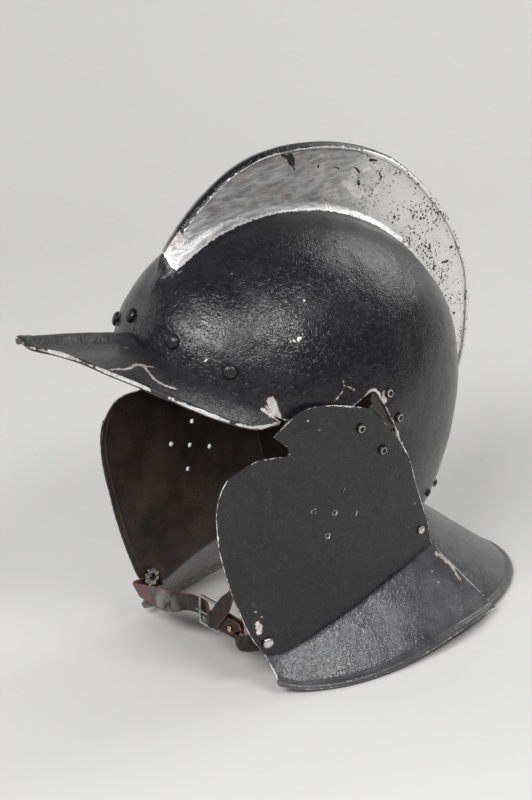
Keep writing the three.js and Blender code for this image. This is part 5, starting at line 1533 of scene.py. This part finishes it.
def makeWasher(side):
    # a petalled washer, slightly domed, that spreads the strap rivet's hold on the leather
    face, normal, _ = strapSeat
    flip = np.array([side, 1, 1])
    seat, axis = (face - normal * washerInset) * flip, -normal * flip
    aside = unit(np.cross(axis, upward))
    third = np.cross(axis, aside)
    turns = fullTurn(washer["sides"])
    dip = (1 + np.cos(washer["lobes"] * turns)) / 2
    reach = washer["radius"] * (1 - washer["dipShare"] * dip * dip)
    around = (np.cos(turns)[:, None] * aside + np.sin(turns)[:, None] * third) * reach[:, None]
    thick = washer["thickness"]
    sections = np.array([
        seat + around * share + axis * (thick * (rise - washer["groove"] * dip ** 4 * grooved))[:, None]
        for share, rise, grooved in washer["layers"]])
    points, faces = tube(np.array([seat, seat + axis * thick * washer["layers"][-1][1]]), sections)
    name = "left" if side > 0 else "right"
    piece = addPiece("strapWasherPetals_" + name, points, faces, [brightIron], sharpAngle=50)
    mark(piece, high=np.clip((points - seat) @ axis / thick, 0, 1))
    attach(piece, "cheek_" + name)
    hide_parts("strap_washer_" + name)


makeStraps()
makeBuckle()
makeTongue()
makeStud()
for side in (1, -1):
    makeWasher(side)
print("strap and buckle ready")


lining = {"rise": 2.7, "width": 13, "columns": 140, "rows": 18, "ripple": 0.12, "cutReach": 1.6}


def makeLining():
    lastTilt = rivets["brow"]["places"][-1][1]
    endTilt = lastTilt + math.degrees(2 * rivets["brow"]["radius"] / skull["halfWidth"])
    tilt = np.linspace(-endTilt, endTilt, lining["columns"])[None]
    rise = lining["rise"] + lining["width"] * (1 - np.linspace(0, 1, lining["rows"]))[:, None]
    angle = browAngleAt(np.abs(tilt)) + np.degrees(rise / skull["radius"])
    outward = bowlNormal(angle, tilt)
    rows = bowlPoint(angle, np.broadcast_to(tilt, angle.shape)) - outward * (fits["plate"] + fits["leafGap"])
    ripple = lining["ripple"] * unevenness(rows, 8.0, 6.1)
    normals = gridNormals(rows)
    normals = normals * np.sign((normals * outward).sum(-1).mean())
    points, faces, _ = plateShell(rows, normals, strap["liningThickness"] + ripple)
    piece = addPiece("liningLeatherBand", points, faces, [liningLeather], sharpAngle=60)
    border = np.concatenate([rows[0], rows[-1], rows[:, 0], rows[:, -1]])
    mark(piece, cut=np.clip(lining["cutReach"] - distanceTo(points, border), 0, 1), sheen=0.0, rosy=0.0)
    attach(piece, "helmet")
    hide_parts("lining_band")


makeLining()
print("lining ready")


studio = {
    "floor": (0.72, 0.715, 0.705, 1), "floorShade": 0.97, "cloud": 400.0, "depth": 3.2, "curve": 0.9,
    "curveRadius": 0.6, "world": (0.93, 0.94, 0.96, 1), "worldStrength": 0.17, "aim": (0, 0, 0.15),
    # name, azimuth and height angle of each soft lamp, its distance, watts, width and height
    "lamps": [("keyLamp", 30, 40, 2.3, 40, 1.5, 0.5), ("sideLamp", 90, 41, 2.2, 18, 0.8, 0.4),
              ("rimLamp", 177, 31, 2.0, 12, 0.9, 1.1), ("fillLamp", -55, 22, 2.4, 6, 1.2, 1.2)],
}
view = {"azimuth": 56.0, "elevation": 16.5, "distance": 1550.0, "target": (0.0, -15.0, 5.0), "lens": 112.5}


def towards(azimuth, height):
    # direction to an azimuth, counted from the front to the wearer's left, and a height angle
    a, e = math.radians(azimuth), math.radians(height)
    return np.array([math.sin(a) * math.cos(e), -math.cos(a) * math.cos(e), math.sin(e)])


def makeFloor():
    material, place = newMaterial("studioPaper")
    low = tuple(c * studio["floorShade"] for c in studio["floor"][:3]) + (1,)
    soft = noiseAt(inUnits(place, studio["cloud"]), 3.0, 0.5)
    shade(material, mixColour(soft, low, studio["floor"]), 0.9)
    back = -towards(view["azimuth"], 0)
    aside = np.array([back[1], -back[0], 0])
    radius, depth = studio["curveRadius"], studio["depth"]
    profile = [(-depth, 0.0), (studio["curve"], 0.0)]
    for turn in np.radians(np.linspace(0, 90, 13)[1:]):
        profile.append((studio["curve"] + radius * math.sin(turn), radius * (1 - math.cos(turn))))
    profile.append((profile[-1][0], depth))
    points = [tuple(back * run + aside * side + np.array([0, 0, rise]))
              for run, rise in profile for side in (-depth, depth)]
    faces = [[2 * i - 2, 2 * i - 1, 2 * i + 1, 2 * i] for i in range(1, len(profile))]
    mesh = bpy.data.meshes.new("studioFloor")
    mesh.from_pydata(points, [], faces)
    mesh.materials.append(material)
    floor = bpy.data.objects.new("studioFloor", mesh)
    bpy.context.scene.collection.objects.link(floor)
    smooth(floor, 60)


def addLamp(name, azimuth, height, distance, power, width, tall):
    lamp = bpy.data.lights.new(name, "AREA")
    lamp.shape = "RECTANGLE"
    lamp.size, lamp.size_y = width, tall
    lamp.energy = power
    place = Vector(distance * towards(azimuth, height) + studio["aim"])
    holder = bpy.data.objects.new(name, lamp)
    bpy.context.scene.collection.objects.link(holder)
    holder.location = place
    holder.rotation_euler = (Vector(studio["aim"]) - place).to_track_quat("-Z", "Y").to_euler()


def makeWorld():
    world = bpy.data.worlds.new("studioWorld")
    bpy.context.scene.world = world
    world.use_nodes = True
    world.node_tree.nodes.clear()
    light = {"Color": studio["world"], "Strength": studio["worldStrength"]}
    addNode(world.node_tree, "OutputWorld", {"Surface": outputOf(world.node_tree, "Background", light)})


def makeCamera():
    back = towards(view["azimuth"], view["elevation"])
    right = -towards(view["azimuth"] - 90, 0)
    axes = [directionToTable(way) for way in (right, np.cross(back, right), back)]
    camera = bpy.data.cameras.new("photoCamera")
    camera.sensor_fit = "VERTICAL"
    camera.sensor_height = 36
    camera.lens = view["lens"]
    camera.clip_start, camera.clip_end = 0.05, 30
    holder = bpy.data.objects.new("photoCamera", camera)
    bpy.context.scene.collection.objects.link(holder)
    place = toTable(np.array(view["target"]) + back * view["distance"])
    holder.matrix_world = Matrix.Translation(Vector(place)) @ Matrix(axes).transposed().to_4x4()
    bpy.context.scene.camera = holder


makeFloor()
makeWorld()
for lampSizes in studio["lamps"]:
    addLamp(*lampSizes)
makeCamera()
bpy.context.scene.view_settings.view_transform = "Standard"
print("studio ready")
